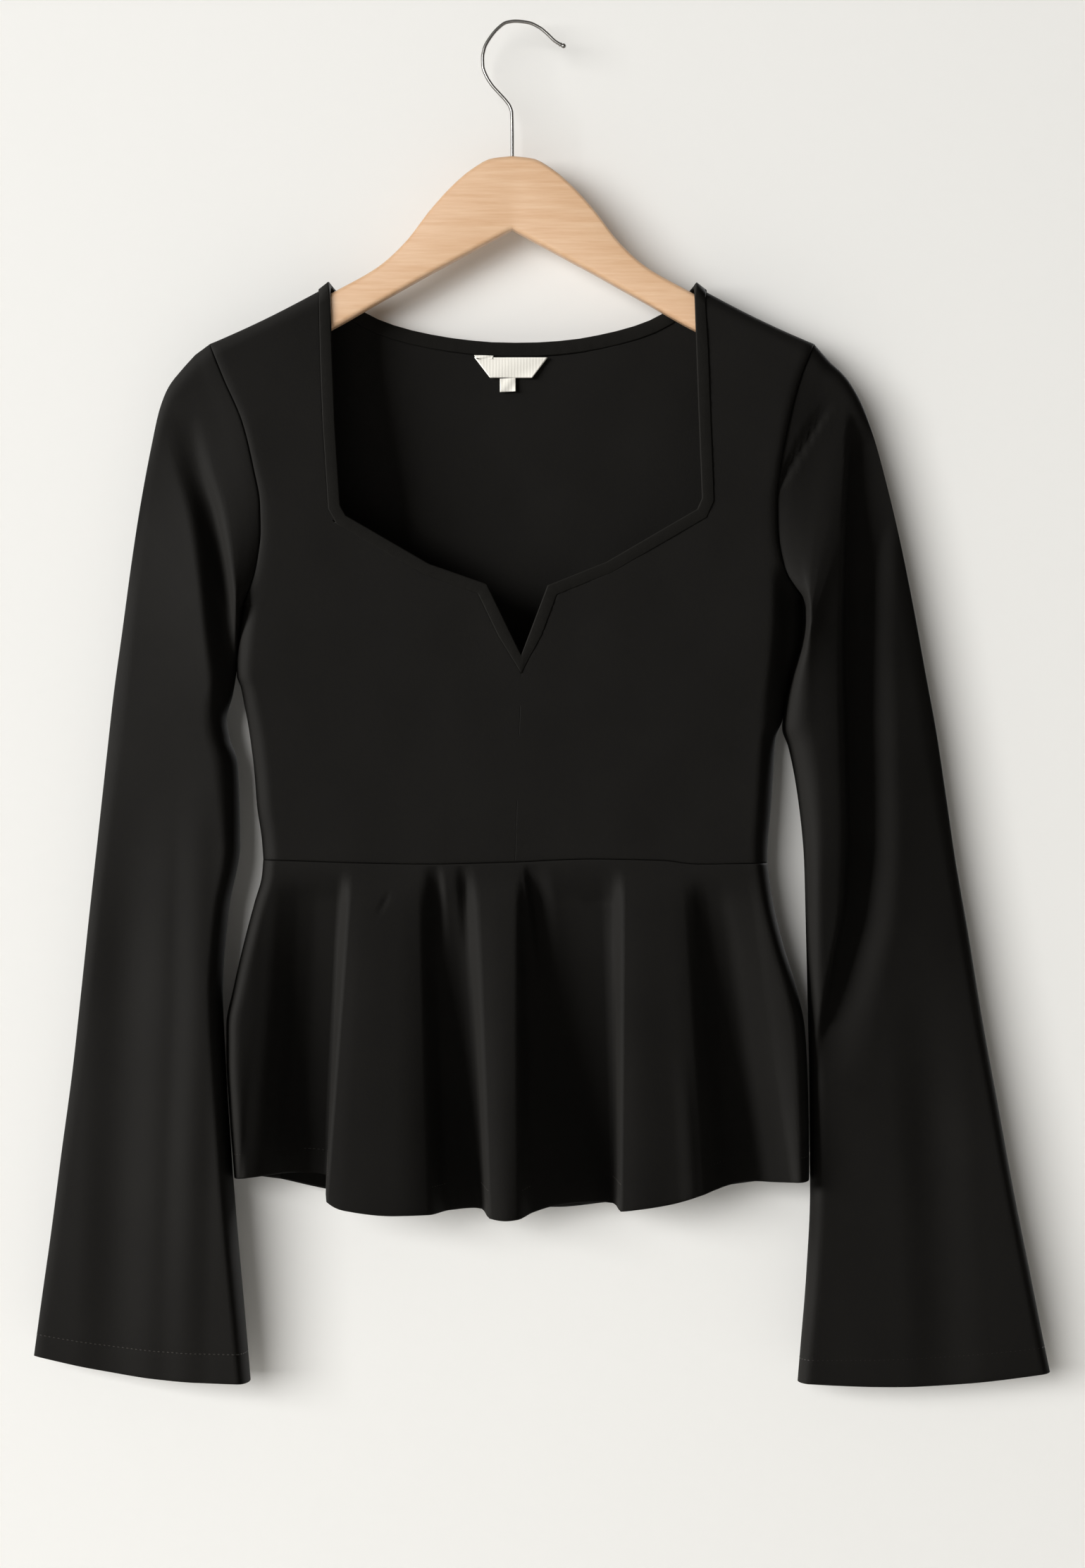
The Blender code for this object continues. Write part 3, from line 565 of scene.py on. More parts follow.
def edge_spaced(length, spans, steps=EDGE_STEPS):
    """Distances from 0 to a length, close together at both folded ends."""
    inset = steps[-1]
    middle = [inset + (length - 2.0 * inset) * i / spans for i in range(1, spans)]
    return list(steps) + middle + [length - step for step in reversed(steps)]


def armhole_path(side):
    """Armhole seam from the shoulder to the underarm, closely spaced."""
    samples = 120
    under = UNDERARM_DROP[side]
    drops = [SHOULDER_DROP + (under - SHOULDER_DROP) * i / samples for i in range(samples + 1)]
    return [(body_edge(side, drop), drop) for drop in drops]


def armhole_depth(face, drop, distance, length):
    """How far the armhole seam stands from the middle plane."""
    ends = rounded(distance, SHOULDER_FOLD) * rounded(length - distance, UNDERARM_FOLD)
    return ARMHOLE_DEPTH * panel_depth(face, drop) * ends


def neck_path(neck, side):
    """Finished neckline from the middle to the shoulder fold, one place a row."""
    xs = neck[SIDE_NAME[side] + "_x"]
    drops = neck[SIDE_NAME[side] + "_drop"]
    corners = list(zip(xs, drops))
    places = []
    for start, end, steps in zip(corners, corners[1:], neck["steps"]):
        places += [part_way(start, end, i / steps) for i in range(steps)]
    foot, top = corners[-2:]
    return places + [part_way(top, foot, step / EDGE_STEPS[-1]) for step in reversed(EDGE_STEPS)]


def neck_offsets(places, side, middle_offset, shoulder):
    """Step into the cloth at each place of a neckline, for 1 mm of band."""
    offsets = [middle_offset]
    fold_start = len(places) - len(EDGE_STEPS)
    for i in range(1, len(places)):
        if i >= fold_start:
            row = Vector((shoulder[0] - places[-1][0], shoulder[1] - places[-1][1]))
            offsets.append(row.normalized())
            continue
        before = (Vector(places[i]) - Vector(places[i - 1])).normalized()
        after = (Vector(places[i + 1]) - Vector(places[i])).normalized()
        across = (before + after).normalized()
        normal = Vector((-across.y, across.x)) * side
        cos_half = max(across.dot(before), MITRE_LIMIT)
        offsets.append(normal / cos_half)
    return offsets


def fold_out(side, face, distance):
    """Outward direction of the cloth near the shoulder fold."""
    over = max(1.0 - distance / SHOULDER_FOLD, 0.0)
    up = Vector((side * SHOULDER_UP.x, 0.0, SHOULDER_UP.z))
    return (over * up + sqrt(1.0 - over ** 2) * Vector((0.0, face, 0.0))).normalized()


def neck_rows(face, side):
    """Neckline rows from the middle to the shoulder: edge, step, depth, outward."""
    neck = FRONT_NECK if face == FRONT else BACK_NECK
    middle = Vector((0.0, V_MITRE if face == FRONT else 1.0))
    places = neck_path(neck, side)
    shoulder = (body_edge(side, SHOULDER_DROP), SHOULDER_DROP)
    offsets = neck_offsets(places, side, middle, shoulder)
    rows = []
    last = len(places) - 1
    for i, place in enumerate(places):
        from_fold = EDGE_STEPS[last - i] if last - i < len(EDGE_STEPS) else SHOULDER_FOLD
        depth = panel_depth(face, place[1]) * rounded(from_fold, SHOULDER_FOLD)
        rows.append((Vector(place), offsets[i], depth, fold_out(side, face, from_fold)))
    return rows


def crease_tables():
    """The creases of each piece and face, with their paths looked up by whole drops."""
    found = {}
    for piece, face, left_width, right_width, depth, path in zip(*CREASES.values()):
        xs, drops, shares = zip(*path)
        first = int(drops[0])
        count = int(drops[-1]) - first + 2
        line = [through(drops, xs, first + i) for i in range(count)]
        share = [through(drops, shares, first + i) for i in range(count)]
        found.setdefault((piece, face), []).append((first, line, share, left_width, right_width, depth))
    return found


CREASES_BY_PIECE = crease_tables()


def crease_depth(piece, face, x, drop):
    """How far the listed creases sink the cloth at a place."""
    sunk = 0.0
    for first, line, share, left_width, right_width, depth in CREASES_BY_PIECE.get((piece, face), ()):
        at = drop - first
        if not 0.0 <= at <= len(line) - 1:
            continue
        off = x - between(line, at)
        width = left_width if off < 0.0 else right_width
        if abs(off) < width:
            sunk += depth * between(share, at) * bell(off / width)
    sway = noise.noise(Vector((x / SWAY_ACROSS, drop / SWAY_DOWN, 3.0 * face)))
    return sunk + SWAY_DEPTH * sway


def seam_sink(distance):
    """How far cloth turns in toward a seam at a distance from it."""
    sink = SEAM_ROLL * (1.0 - rounded(distance, ROLL_REACH))
    rise = ALLOWANCE_RISE * bell((distance - ALLOWANCE_WIDTH / 2.0) / (ALLOWANCE_WIDTH / 2.0))
    return sink - rise


def hem_sink(distance):
    """How far cloth sinks at a distance above a hem: its round edge and the stitched line."""
    edge = HEM_ROLL * (1.0 - rounded(distance, WALL))
    return edge + STITCH_SINK * bell((distance - HEM_DEPTH) / STITCH_REACH)


def waist_shift(face, x):
    """How much lower than its mean height the waist seam runs at a place."""
    if face == BACK:
        return 0.0
    return look_up(WAIST_WAVE, "shift", x)


def bodice_places(face, side):
    """One half of a bodice panel as rows of places, waist to shoulder."""
    piece = FACE_NAME[face] + "_bodice"
    path = armhole_path(side)
    length = path_length(path)
    distances = edge_spaced(length, ARMHOLE_SPANS)
    neck = neck_rows(face, side)
    band = BAND_WIDTH[face] - BAND_LAP
    inner = [row[0] + row[1] * band for row in neck]
    centre_rows = len(distances) - len(neck)
    waist = WAIST_DROP
    under = UNDERARM_DROP[side]
    lower = LOWER_ROWS + centre_rows
    foot = (WAIST_CENTRE, waist)
    stops = [Vector(part_way(foot, inner[0], i / lower)) for i in range(lower)] + inner

    def seam_place(at):
        """Place on the side seam or armhole at a row, and its distance to the shoulder."""
        if at <= LOWER_ROWS:
            drop = waist + at / LOWER_ROWS * (under - waist)
            return (body_edge(side, drop), drop), None
        distance = between(distances[::-1], at - LOWER_ROWS)
        x, drop = walk(path, [distance])[0]
        return (x, drop), distance

    ats = list(WAIST_ATS)
    for row in range(len(stops) - 1):
        a = seam_place(row)[0]
        b = seam_place(row + 1)[0]
        middle_span = (stops[row + 1] - stops[row]).length
        span = max(hypot(b[0] - a[0], b[1] - a[1]), middle_span * MIDDLE_SHARE)
        pieces = max(2, round(span / MESH_STEP))
        ats += [row + i / pieces for i in range(pieces) if row + i]
    ats.append(len(stops) - 1)

    grid = []
    for at in ats:
        edge, distance = seam_place(at)
        stop = between(stops, at)
        row_length = hypot(stop.x - edge[0], stop.y - edge[1])
        spare = row_length - FINE_EDGE[-1] - FINE_STOP[0]
        steps = list(FINE_EDGE)
        steps += [FINE_EDGE[-1] + spare * i / BODICE_COLUMNS for i in range(1, BODICE_COLUMNS)]
        steps += [row_length - step for step in FINE_STOP]
        fold = 1.0 if distance is None else rounded(distance, SHOULDER_FOLD)
        edge_depth = 0.0 if distance is None else armhole_depth(face, edge[1], distance, length)
        sag = SHOULDER_SAG * (1.0 - fold)
        row = []
        for step in steps:
            t = step / row_length
            x, drop = part_way(edge, stop, t)
            drop += sag * sin(pi * t)
            full = panel_depth(face, drop) * fold
            depth = edge_depth + (full - edge_depth) * rounded(step, SIDE_FOLD)
            above_waist = waist - drop
            sink = seam_sink(above_waist)
            if distance is None:
                x -= side * SIDE_TURN * (1.0 - rounded(depth, ROLL_REACH))
            else:
                sink += seam_sink(step)
            if at >= lower:
                sink += NECK_ROLL * (1.0 - rounded(row_length - step, ROLL_REACH))
            sink += crease_depth(piece, face, x, drop)
            drop += waist_shift(face, x) * max(1.0 - above_waist / WAIST_WAVE_REACH, 0.0) ** 2
            row.append(point(x, drop, face * (SEAM / 2.0 + max(depth - sink * fold, 0.0))))
        grid.append(row)
    return grid


def peplum_columns(face):
    """Peplum columns left to right: x at the waist and hem, height, hem drop."""
    lines = FRONT_LINES if face == FRONT else BACK_LINES
    keys = lines["hem_x"]
    columns = []
    for start, end in zip(keys, keys[1:]):
        spans = max(3, round((end - start) / PEPLUM_STEP))
        for i in range(spans):
            hem_x = start + (end - start) * i / spans
            waist_x = through(keys, lines["waist_x"], hem_x)
            height = through(keys, lines["height"], hem_x)
            columns.append((waist_x, hem_x, height, through(keys, lines["hem_drop"], hem_x)))
    columns.append((lines["waist_x"][-1], keys[-1], lines["height"][-1], lines["hem_drop"][-1]))
    return columns


def peplum_row(face, v, columns):
    """One row of a peplum panel, left to right: v is 0 at the waist and 1 at the hem."""
    piece = FACE_NAME[face] + "_peplum"
    top = WAIST_DROP
    full = panel_depth(face, WAIST_DROP) + HEM_FLARE * v
    rise = v ** FOLD_RISE * (1.0 - bell(min(v / FOLD_START, 1.0)))
    corner = {side: top + v * (EDGE_HEM_DROP[side] - top) for side in (LEFT, RIGHT)}
    edge = {side: look_up(PEPLUM_EDGE, SIDE_NAME[side], corner[side]) for side in (LEFT, RIGHT)}

    def place(x, drop, height):
        from_edge = min(x - edge[LEFT], edge[RIGHT] - x)
        depth = full * rounded(from_edge, SKIRT_SIDE_FOLD) + height * rise
        sink = seam_sink(v * PEPLUM_LENGTH) + hem_sink((1.0 - v) * PEPLUM_LENGTH)
        sink += crease_depth(piece, face, x, drop)
        if depth < ROLL_REACH:
            nearer = LEFT if x - edge[LEFT] < edge[RIGHT] - x else RIGHT
            x -= nearer * SIDE_TURN * (1.0 - rounded(depth, ROLL_REACH))
        drop += waist_shift(face, x) * (1.0 - v) ** 2
        return point(x, drop, face * (SEAM / 2.0 + max(depth - sink, 0.0)))

    ends = {LEFT: [], RIGHT: []}
    for side, nearest in ((LEFT, columns[0]), (RIGHT, columns[-1])):
        waist_x, hem_x, height, hem_drop = nearest
        reach = abs(waist_x + (hem_x - waist_x) * v - edge[side])
        for share in PEPLUM_EDGE_SHARES:
            drop = corner[side] + share * v * (hem_drop - EDGE_HEM_DROP[side])
            ends[side].append(place(edge[side] - side * share * reach, drop, height * share ** 2))
    middle = [
        place(waist_x + (hem_x - waist_x) * v, top + v * (hem_drop - top), height)
        for waist_x, hem_x, height, hem_drop in columns
    ]
    return ends[LEFT] + middle + ends[RIGHT][::-1]


def peplum_places(face):
    """A peplum panel as rows of places, waist to hem."""
    columns = peplum_columns(face)
    first = PEPLUM_SEAM_SHARES[-1]
    last = PEPLUM_HEM_SHARES[0]
    middle = [first + (last - first) * i / PEPLUM_ROWS for i in range(1, PEPLUM_ROWS)]
    shares = list(PEPLUM_SEAM_SHARES) + middle + list(PEPLUM_HEM_SHARES)
    return [peplum_row(face, v, columns) for v in shares]


def sleeve_shares(side):
    """Shares of the way across a sleeve, and the armhole seam's place at each."""
    path = armhole_path(side)
    length = path_length(path)
    shares = edge_spaced(1.0, SLEEVE_COLUMNS, tuple(step / USUAL_SLEEVE_WIDTH for step in FINE_EDGE[:-1]))
    seam = [walk(path, [share * length])[0] for share in shares]
    return shares, seam, length


def sleeve_ring(side, at, shares, seam, length):
    """One ring of a sleeve: at is 0 at the armhole and a row number further down."""
    piece = SIDE_NAME[side] + "_sleeve"
    lines = SLEEVE_LINES[side]
    count = len(lines["outer_x"])
    rows = range(1, count + 1)
    line_at = max(at, 1.0)
    outer_x, outer_drop, inner_x, inner_drop, line_depth, line_sag = (
        through(rows, column, line_at)
        for column in (*lines.values(), SLEEVE_DEPTH, SLEEVE_SAG[side])
    )
    outer = Vector((outer_x, outer_drop))
    inner = Vector((inner_x, inner_drop))
    chord = (Vector(seam[0]), Vector(seam[-1]))
    width = (inner - outer).length
    pull = between(SEAM_PULL, min(line_at, len(SEAM_PULL) - 1.0))
    from_cuff = (count - at) * CUFF_GAP[side]
    sheets = {FRONT: [], BACK: []}
    for face in (FRONT, BACK):
        face_depth = line_depth * (1.0 if face == FRONT else BACK_DEPTH)
        for share, on_seam in zip(shares, seam):
            place = outer.lerp(inner, share)
            bow = Vector(on_seam) - chord[0].lerp(chord[1], share)
            place += pull * (1.0 - share ** BOW_POWER) * bow
            x = place.x
            drop = place.y + line_sag * sin(pi * share)
            step = share * width
            outer_fold = look_up(SLEEVE_FOLDS, "outer", drop)
            inner_fold = look_up(SLEEVE_FOLDS, "inner", drop)
            ends = rounded(step, outer_fold) * rounded(width - step, inner_fold)
            seam_depth = armhole_depth(face, on_seam[1], share * length, length)
            if face == FRONT:
                tilt = look_up(SLEEVE_TILT, SIDE_NAME[side], drop)
                ends_depth = (face_depth + tilt * (step - width / 2.0)) * ends
            else:
                ends_depth = face_depth * ends
            depth = ends_depth + pull * (seam_depth - ends_depth)
            if at < 1.0:
                x, drop = part_way(on_seam, (x, drop), at)
                depth = seam_depth + at * (depth - seam_depth)
            from_seam = rounded(at * ARMHOLE_GAP, SEAM_CALM)
            depth -= crease_depth(piece, face, x, drop) * ends * from_seam
            sink = seam_sink(at * ARMHOLE_GAP) + hem_sink(from_cuff)
            depth -= sink * rounded(depth, FOLD_SOFT)
            sheets[face].append(point(x, drop, face * max(depth, 0.0)))
    return sheets[FRONT][::-1] + sheets[BACK][1:]


def sleeve_places(side):
    """A sleeve as rings of places from the armhole to the cuff, underarm to underarm."""
    lines = SLEEVE_LINES[side]
    count = len(lines["outer_x"])
    middles = [
        Vector((
            (lines["outer_x"][k] + lines["inner_x"][k]) / 2.0,
            (lines["outer_drop"][k] + lines["inner_drop"][k]) / 2.0,
        ))
        for k in range(count)
    ]
    ats = list(ARMHOLE_ATS)
    for k in range(count - 1):
        pieces = max(2, round((middles[k + 1] - middles[k]).length / MESH_STEP))
        ats += [1.0 + k + i / pieces for i in range(pieces)]
    ats += [count - before for before in CUFF_ATS]
    shares, seam, length = sleeve_shares(side)
    return [sleeve_ring(side, at, shares, seam, length) for at in ats]


def new_mesh():
    """An empty mesh with a UV layer, worked on in millimetres."""
    bm = bmesh.new()
    bm.loops.layers.uv.new("UVMap")
    return bm


def add_object(name, data):
    """Add an object to the scene."""
    item = bpy.data.objects.new(name, data)
    bpy.context.scene.collection.objects.link(item)
    return item


def laid_grid(bm, rows, turned_rows=0):
    """Add a flat grid to a mesh and lay it onto rows of places, the last ones as a hem."""
    high = len(rows) - 1
    wide = len(rows[0]) - 1
    doubled = bm.verts.layers.float.get("doubled") or bm.verts.layers.float.new("doubled")
    made = bmesh.ops.create_grid(bm, x_segments=wide, y_segments=high, size=1.0, calc_uvs=True)
    for vert in made["verts"]:
        column = round((vert.co.x + 1.0) / 2.0 * wide)
        row = round((vert.co.y + 1.0) / 2.0 * high)
        vert.co = rows[row][column]
        vert[doubled] = 1.0 if high - row < turned_rows else 0.0


def finished(name, bm, material, body="root"):
    """Make an object that rides on a body from a mesh worked out in millimetres."""
    bmesh.ops.scale(bm, vec=(MM, MM, MM), verts=bm.verts)
    mesh = bpy.data.meshes.new(name)
    bm.to_mesh(mesh)
    bm.free()
    mesh.shade_smooth()
    mesh.materials.append(material)
    item = add_object(name, mesh)
    if body:
        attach(item, body)
    return item


def cloth_sheet(name, grids, material, turned_rows=0):
    """A sheet of cloth from its halves, joined, faced outward, and thicker along its turned hem."""
    bm = new_mesh()
    for rows in grids:
        laid_grid(bm, rows, turned_rows)
    bmesh.ops.remove_doubles(bm, verts=bm.verts, dist=WELD)
    bmesh.ops.recalc_face_normals(bm, faces=bm.faces)
    facing = sum(face.normal.y * face.calc_center_median().y for face in bm.faces)
    if facing < 0.0:
        bmesh.ops.reverse_faces(bm, faces=bm.faces)
    doubled = bm.verts.layers.float["doubled"]
    turned = [vert.index for vert in bm.verts if vert[doubled] > 0.5]
    item = finished(name, bm, material)
    wall = item.modifiers.new("cloth wall", "SOLIDIFY")
    wall.thickness = WALL * MM
    wall.offset = -1.0
    if turned:
        group = item.vertex_groups.new(name="turned hem")
        group.add(turned, 1.0, "REPLACE")
        wall.vertex_group = group.name
        wall.thickness = HEM_WALL * MM
        wall.thickness_vertex_group = WALL / HEM_WALL
    return item


def swept(name, rows, material):
    """A solid swept through closed rings of places, capped at both ends."""
    bm = new_mesh()
    laid_grid(bm, [ring + ring[:1] for ring in rows])
    bmesh.ops.remove_doubles(bm, verts=bm.verts, dist=WELD / 2.0)
    open_edges = [edge for edge in bm.edges if edge.is_boundary]
    bmesh.ops.holes_fill(bm, edges=open_edges, sides=0)
    bmesh.ops.recalc_face_normals(bm, faces=bm.faces)
    return finished(name, bm, material)


def stitched_line(name, path, material):
    """A row of thread stitches along a path of places, each a small rounded loop of thread."""
    bm = new_mesh()
    travelled = 0.0
    due = STITCH_PITCH / 2.0
    for start, end in zip(path, path[1:]):
        along = end - start
        length = along.length
        while length > 0.0 and travelled + length >= due:
            place = start + along * ((due - travelled) / length)
            across = Vector((0.0, 1.0, 0.0)).cross(along).normalized()
            out = along.normalized().cross(across)
            turn = Matrix((along.normalized(), across, out)).transposed().to_4x4()
            height = THREAD_RADIUS * THREAD_FLATNESS
            loop = Matrix.Diagonal((STITCH_LENGTH / 2.0, THREAD_RADIUS, height, 1.0))
            matrix = Matrix.Translation(place) @ turn @ loop
            bmesh.ops.create_uvsphere(
                bm, u_segments=6, v_segments=4, radius=1.0, matrix=matrix, calc_uvs=True
            )
            due += STITCH_PITCH
        travelled += length
    return finished(name, bm, material)


def neck_band(name, face, width, material):
    """Turned neck band along the whole finished neckline, with its soft puckers."""
    radius = BAND_ROUNDING
    foot = BAND_RISE - BAND_THICKNESS
    low = foot + radius
    high = BAND_RISE - radius
    far = width - radius
    seam_share = 0.6
    outline = []
    turns = 5
    for centre_w, centre_h, start in (
        (radius, low, 180.0), (far, low, 270.0), (far, high, 0.0), (radius, high, 90.0)
    ):
        for i in range(turns + 1):
            turn = radians(start + 90.0 * i / turns)
            outline.append((centre_w + radius * cos(turn), centre_h + radius * sin(turn)))
    left = neck_rows(face, LEFT)
    right = neck_rows(face, RIGHT)
    rows = list(reversed(left)) + right[1:]
    draw = Random(7)
    sections = []
    for start, end in zip(rows, rows[1:]):
        span = (end[0] - start[0]).length
        pieces = max(1, round(span / BAND_STEP))
        for i in range(pieces):
            t = i / pieces
            place, step, depth, out = (a + t * (b - a) for a, b in zip(start, end))
            pucker = draw.uniform(-BAND_PUCKER, BAND_PUCKER)
            sections.append((place, step, depth, out.normalized(), pucker))
    sections.append((*rows[-1], 0.0))
    rings = []
    for place, step, depth, out, pucker in sections:
        base = point(place.x, place.y, face * (SEAM / 2.0 + depth))
        across = Vector((step.x, 0.0, -step.y))
        bulk = BULK * bell((place.y - BULK_DROP) / BULK_REACH)
        ring = []
        for w, h in outline:
            seamward = max(w - width * seam_share, 0.0) / (width * (1.0 - seam_share))
            edgeward = (h - foot) / BAND_THICKNESS * (1.0 - w / width) ** 0.5
            ring.append(base + across * w + out * (h + pucker * seamward + bulk * edgeward))
        rings.append(ring)
    return swept(name, rings, material)


def tape(name, material, top_drop, height, widths, centre, tilt):
    """A small piece of woven tape lying on the inside of the back panel."""
    columns = 40
    rows = 16
    grid = []
    for i in range(rows + 1):
        t = i / rows
        half = between(widths, t) / 2.0
        row = []
        for j in range(columns + 1):
            across = 2.0 * j / columns - 1.0
            x = centre + half * across
            drop = top_drop + t * height + tilt * half * across
            wave = TAPE_WAVE * sin(3.0 * across + 4.0 * t)
            lift = TAPE_LIFT + TAPE_CURL * t * t * across * across + wave
            row.append(point(x, drop, SEAM / 2.0 + panel_depth(BACK, drop) - WALL - TAPE_WALL - lift))
        grid.append(row)
    bm = new_mesh()
    laid_grid(bm, grid)
    item = finished(name, bm, material)
    wall = item.modifiers.new("tape wall", "SOLIDIFY")
    wall.thickness = TAPE_WALL * MM
    wall.offset = 0.0
    return item


def hanger_wood(material):
    """The wooden arm: rounded sections from tip to tip, the hook standing on its crown."""
    xs = WOOD_ARM["x"]
    reach = WOOD_TIP_X
    tip_reach = 8.0
    tip_half_height = 0.4
    tip_share = 0.25
    fullest = 0.98
    steps = 70
    crowding = 1.3
    stations = [reach * (1.0 - (1.0 - i / steps) ** crowding) for i in range(steps + 1)]
    stations = [-x for x in stations[:0:-1]] + stations
    corner_turns = 6
    rings = []
    for x in stations:
        out = abs(x)
        closing = rounded(reach - out, tip_reach)
        top = look_up(WOOD_ARM, "top", out)
        bottom = look_up(WOOD_ARM, "bottom", out)
        if out > xs[-1]:
            t = (out - xs[-1]) / (reach - xs[-1])
            top += t * (WOOD_TIP_DROP - tip_half_height - top)
            bottom += t * (WOOD_TIP_DROP + tip_half_height - bottom)
        half_height = (bottom - top) / 2.0
        half_thick = WOOD_THICKNESS / 2.0 * (tip_share + (1.0 - tip_share) * closing)
        turn_radius = min(WOOD_ROUNDING, half_height * fullest, half_thick * fullest)
        middle = (top + bottom) / 2.0
        ring = []
        for quarter, (sign_y, sign_d) in enumerate(((1, 1), (-1, 1), (-1, -1), (1, -1))):
            for i in range(corner_turns + 1):
                turn = radians(90.0 * quarter + 90.0 * i / corner_turns)
                y = sign_y * (half_thick - turn_radius) + turn_radius * cos(turn)
                drop = middle + sign_d * (half_height - turn_radius) + turn_radius * sin(turn)
                ring.append(point(x, drop, y))
        rings.append(ring)
    return swept("hanger_wood", rings, material)


def hook_wire(material):
    """The hook: round wire bent in one plane, with a small ball at its tip."""
    keys = [0.0]
    places = list(zip(HOOK_BEND["x"], HOOK_BEND["drop"]))
    for a, b in zip(places, places[1:]):
        keys.append(keys[-1] + hypot(b[0] - a[0], b[1] - a[1]))
    end = keys[-1]
    sides = 16
    steps = 150
    tip_steps = 12
    crowding = 1.5
    look_ahead = 0.5
    least_radius = 0.05
    collar_gap = 1.0
    collar_reach = 0.6
    collar_half = 0.4
    collar_cuts = (-0.45, -0.3, 0.0, 0.3, 0.45)
    ball = end - TIP_RADIUS
    neck = sqrt(TIP_RADIUS ** 2 - WIRE_RADIUS ** 2)
    collar = ball - neck - collar_gap
    cuts = [i * (collar - collar_reach) / steps for i in range(steps + 1)]
    cuts += [collar + cut for cut in collar_cuts]
    for i in range(tip_steps + 1):
        cuts.append(ball - neck + (neck + TIP_RADIUS) * (1.0 - (1.0 - i / tip_steps) ** crowding))

    def middle(at):
        """Middle of the wire at a length along it."""
        return point(through(keys, HOOK_BEND["x"], at), through(keys, HOOK_BEND["drop"], at), 0.0)

    rings = []
    for at in cuts:
        ahead = middle(min(at + look_ahead, end)) - middle(max(at - look_ahead, 0.0))
        side = Vector((0.0, 1.0, 0.0))
        up = ahead.normalized().cross(side)
        radius = WIRE_RADIUS
        if abs(at - collar) < collar_half:
            radius += COLLAR_RISE
        if at > ball - neck:
            radius = sqrt(max(TIP_RADIUS ** 2 - (at - ball) ** 2, least_radius ** 2))
        turns = [2.0 * pi * i / sides for i in range(sides)]
        rings.append([middle(at) + radius * (cos(a) * side + sin(a) * up) for a in turns])
    return swept("hook_wire", rings, material)


def linear(hex_colour):
    """An sRGB hex colour as linear red, green, blue and alpha."""
    parts = [int(hex_colour[i : i + 2], 16) / 255.0 for i in (1, 3, 5)]
    return (*[c / 12.92 if c <= 0.04045 else ((c + 0.055) / 1.055) ** 2.4 for c in parts], 1.0)


def add_node(tree, kind, inputs=None, **settings):
    """Add a node to a tree with its settings, socket values and links."""
    node = tree.nodes.new(kind)
    for name, value in settings.items():
        setattr(node, name, value)
    for socket, value in (inputs or {}).items():
        if isinstance(value, bpy.types.NodeSocket):
            tree.links.new(value, node.inputs[socket])
        else:
            node.inputs[socket].default_value = value
    return node


def start_material(name):
    """A material without nodes, its tree, and the place that its pattern follows."""
    material = bpy.data.materials.new(name)
    material.use_nodes = True
    tree = material.node_tree
    tree.nodes.clear()
    return material, tree, add_node(tree, "ShaderNodeTexCoord").outputs["Object"]


def noise_pattern(tree, place, size_mm, detail, roughness=0.5):
    """Noise of a size, from 0 to 1."""
    return add_node(tree, "ShaderNodeTexNoise", {
        "Vector": place,
        "Scale": 1.0 / (size_mm * MM),
        "Detail": detail,
        "Roughness": roughness,
    }).outputs["Fac"]


def spread(tree, value, low, high):
    """A pattern from 0 to 1, spread between two values."""
    node = add_node(tree, "ShaderNodeMapRange", {"Value": value, "To Min": low, "To Max": high})
    return node.outputs["Result"]


def bump_normal(tree, height, strength, depth_mm):
    """Normals of a surface that a pattern raises by a depth."""
    return add_node(tree, "ShaderNodeBump", {
        "Strength": strength,
        "Distance": depth_mm * MM,
        "Height": height,
    }).outputs["Normal"]


def surfaced(material, tree, inputs):
    """The material, with its surface made from a principled shader's inputs."""
    shader = add_node(tree, "ShaderNodeBsdfPrincipled", inputs)
    add_node(tree, "ShaderNodeOutputMaterial", {"Surface": shader.outputs["BSDF"]})
    return material


def knit_material(name, shade_hex, lift_hex):
    """Viscose and elastane double knit, piece-dyed black and pressed.

    The eye sees a matt, slightly brown black with a fine wale, a little
    cloudy where the nap lies unevenly, and almost no shine.
    """
    material, tree, place = start_material(name)
    wale = noise_pattern(tree, place, size_mm=1.5, detail=3.0, roughness=0.6)
    cloud = noise_pattern(tree, place, size_mm=45.0, detail=4.0, roughness=0.55)
    nap = add_node(tree, "ShaderNodeMix", {"Factor": 0.5, "A": cloud, "B": wale})
    shade = add_node(tree, "ShaderNodeMix", {
        "Factor": nap.outputs["Result"],
        "A": linear(shade_hex),
        "B": linear(lift_hex),
    }, data_type="RGBA")
    return surfaced(material, tree, {
        "Base Color": shade.outputs["Result"],
        "Roughness": spread(tree, wale, 0.68, 0.8),
        "IOR": 1.45,
        "Specular IOR Level": 0.07,
        "Normal": bump_normal(tree, wale, strength=0.35, depth_mm=0.25),
    })


def thread_material():
    """Spun polyester sewing thread, dyed black: a little glossier than the knit that it joins."""
    material, tree, place = start_material("black sewing thread")
    twist = noise_pattern(tree, place, size_mm=0.3, detail=2.0)
    return surfaced(material, tree, {
        "Base Color": linear("#282521"),
        "Roughness": 0.5,
        "Specular IOR Level": 0.3,
        "Normal": bump_normal(tree, twist, strength=0.3, depth_mm=0.05),
    })


def satin_material(name, hex_colour):
    """Polyester satin tape, woven and heat-cut: off-white with fine warp threads and a soft gloss."""
    material, tree, place = start_material(name)
    thread_mm = 0.5
    warp = add_node(tree, "ShaderNodeTexWave", {
        "Vector": place,
        "Scale": 1.0 / (thread_mm * MM) / 2.0 / pi * 0.5,
        "Distortion": 0.6,
        "Detail": 1.0,
    }, bands_direction="X")
    return surfaced(material, tree, {
        "Base Color": linear(hex_colour),
        "Roughness": 0.42,
        "IOR": 1.5,
        "Sheen Weight": 0.15,
        "Normal": bump_normal(tree, warp.outputs["Fac"], strength=0.3, depth_mm=0.1),
    })


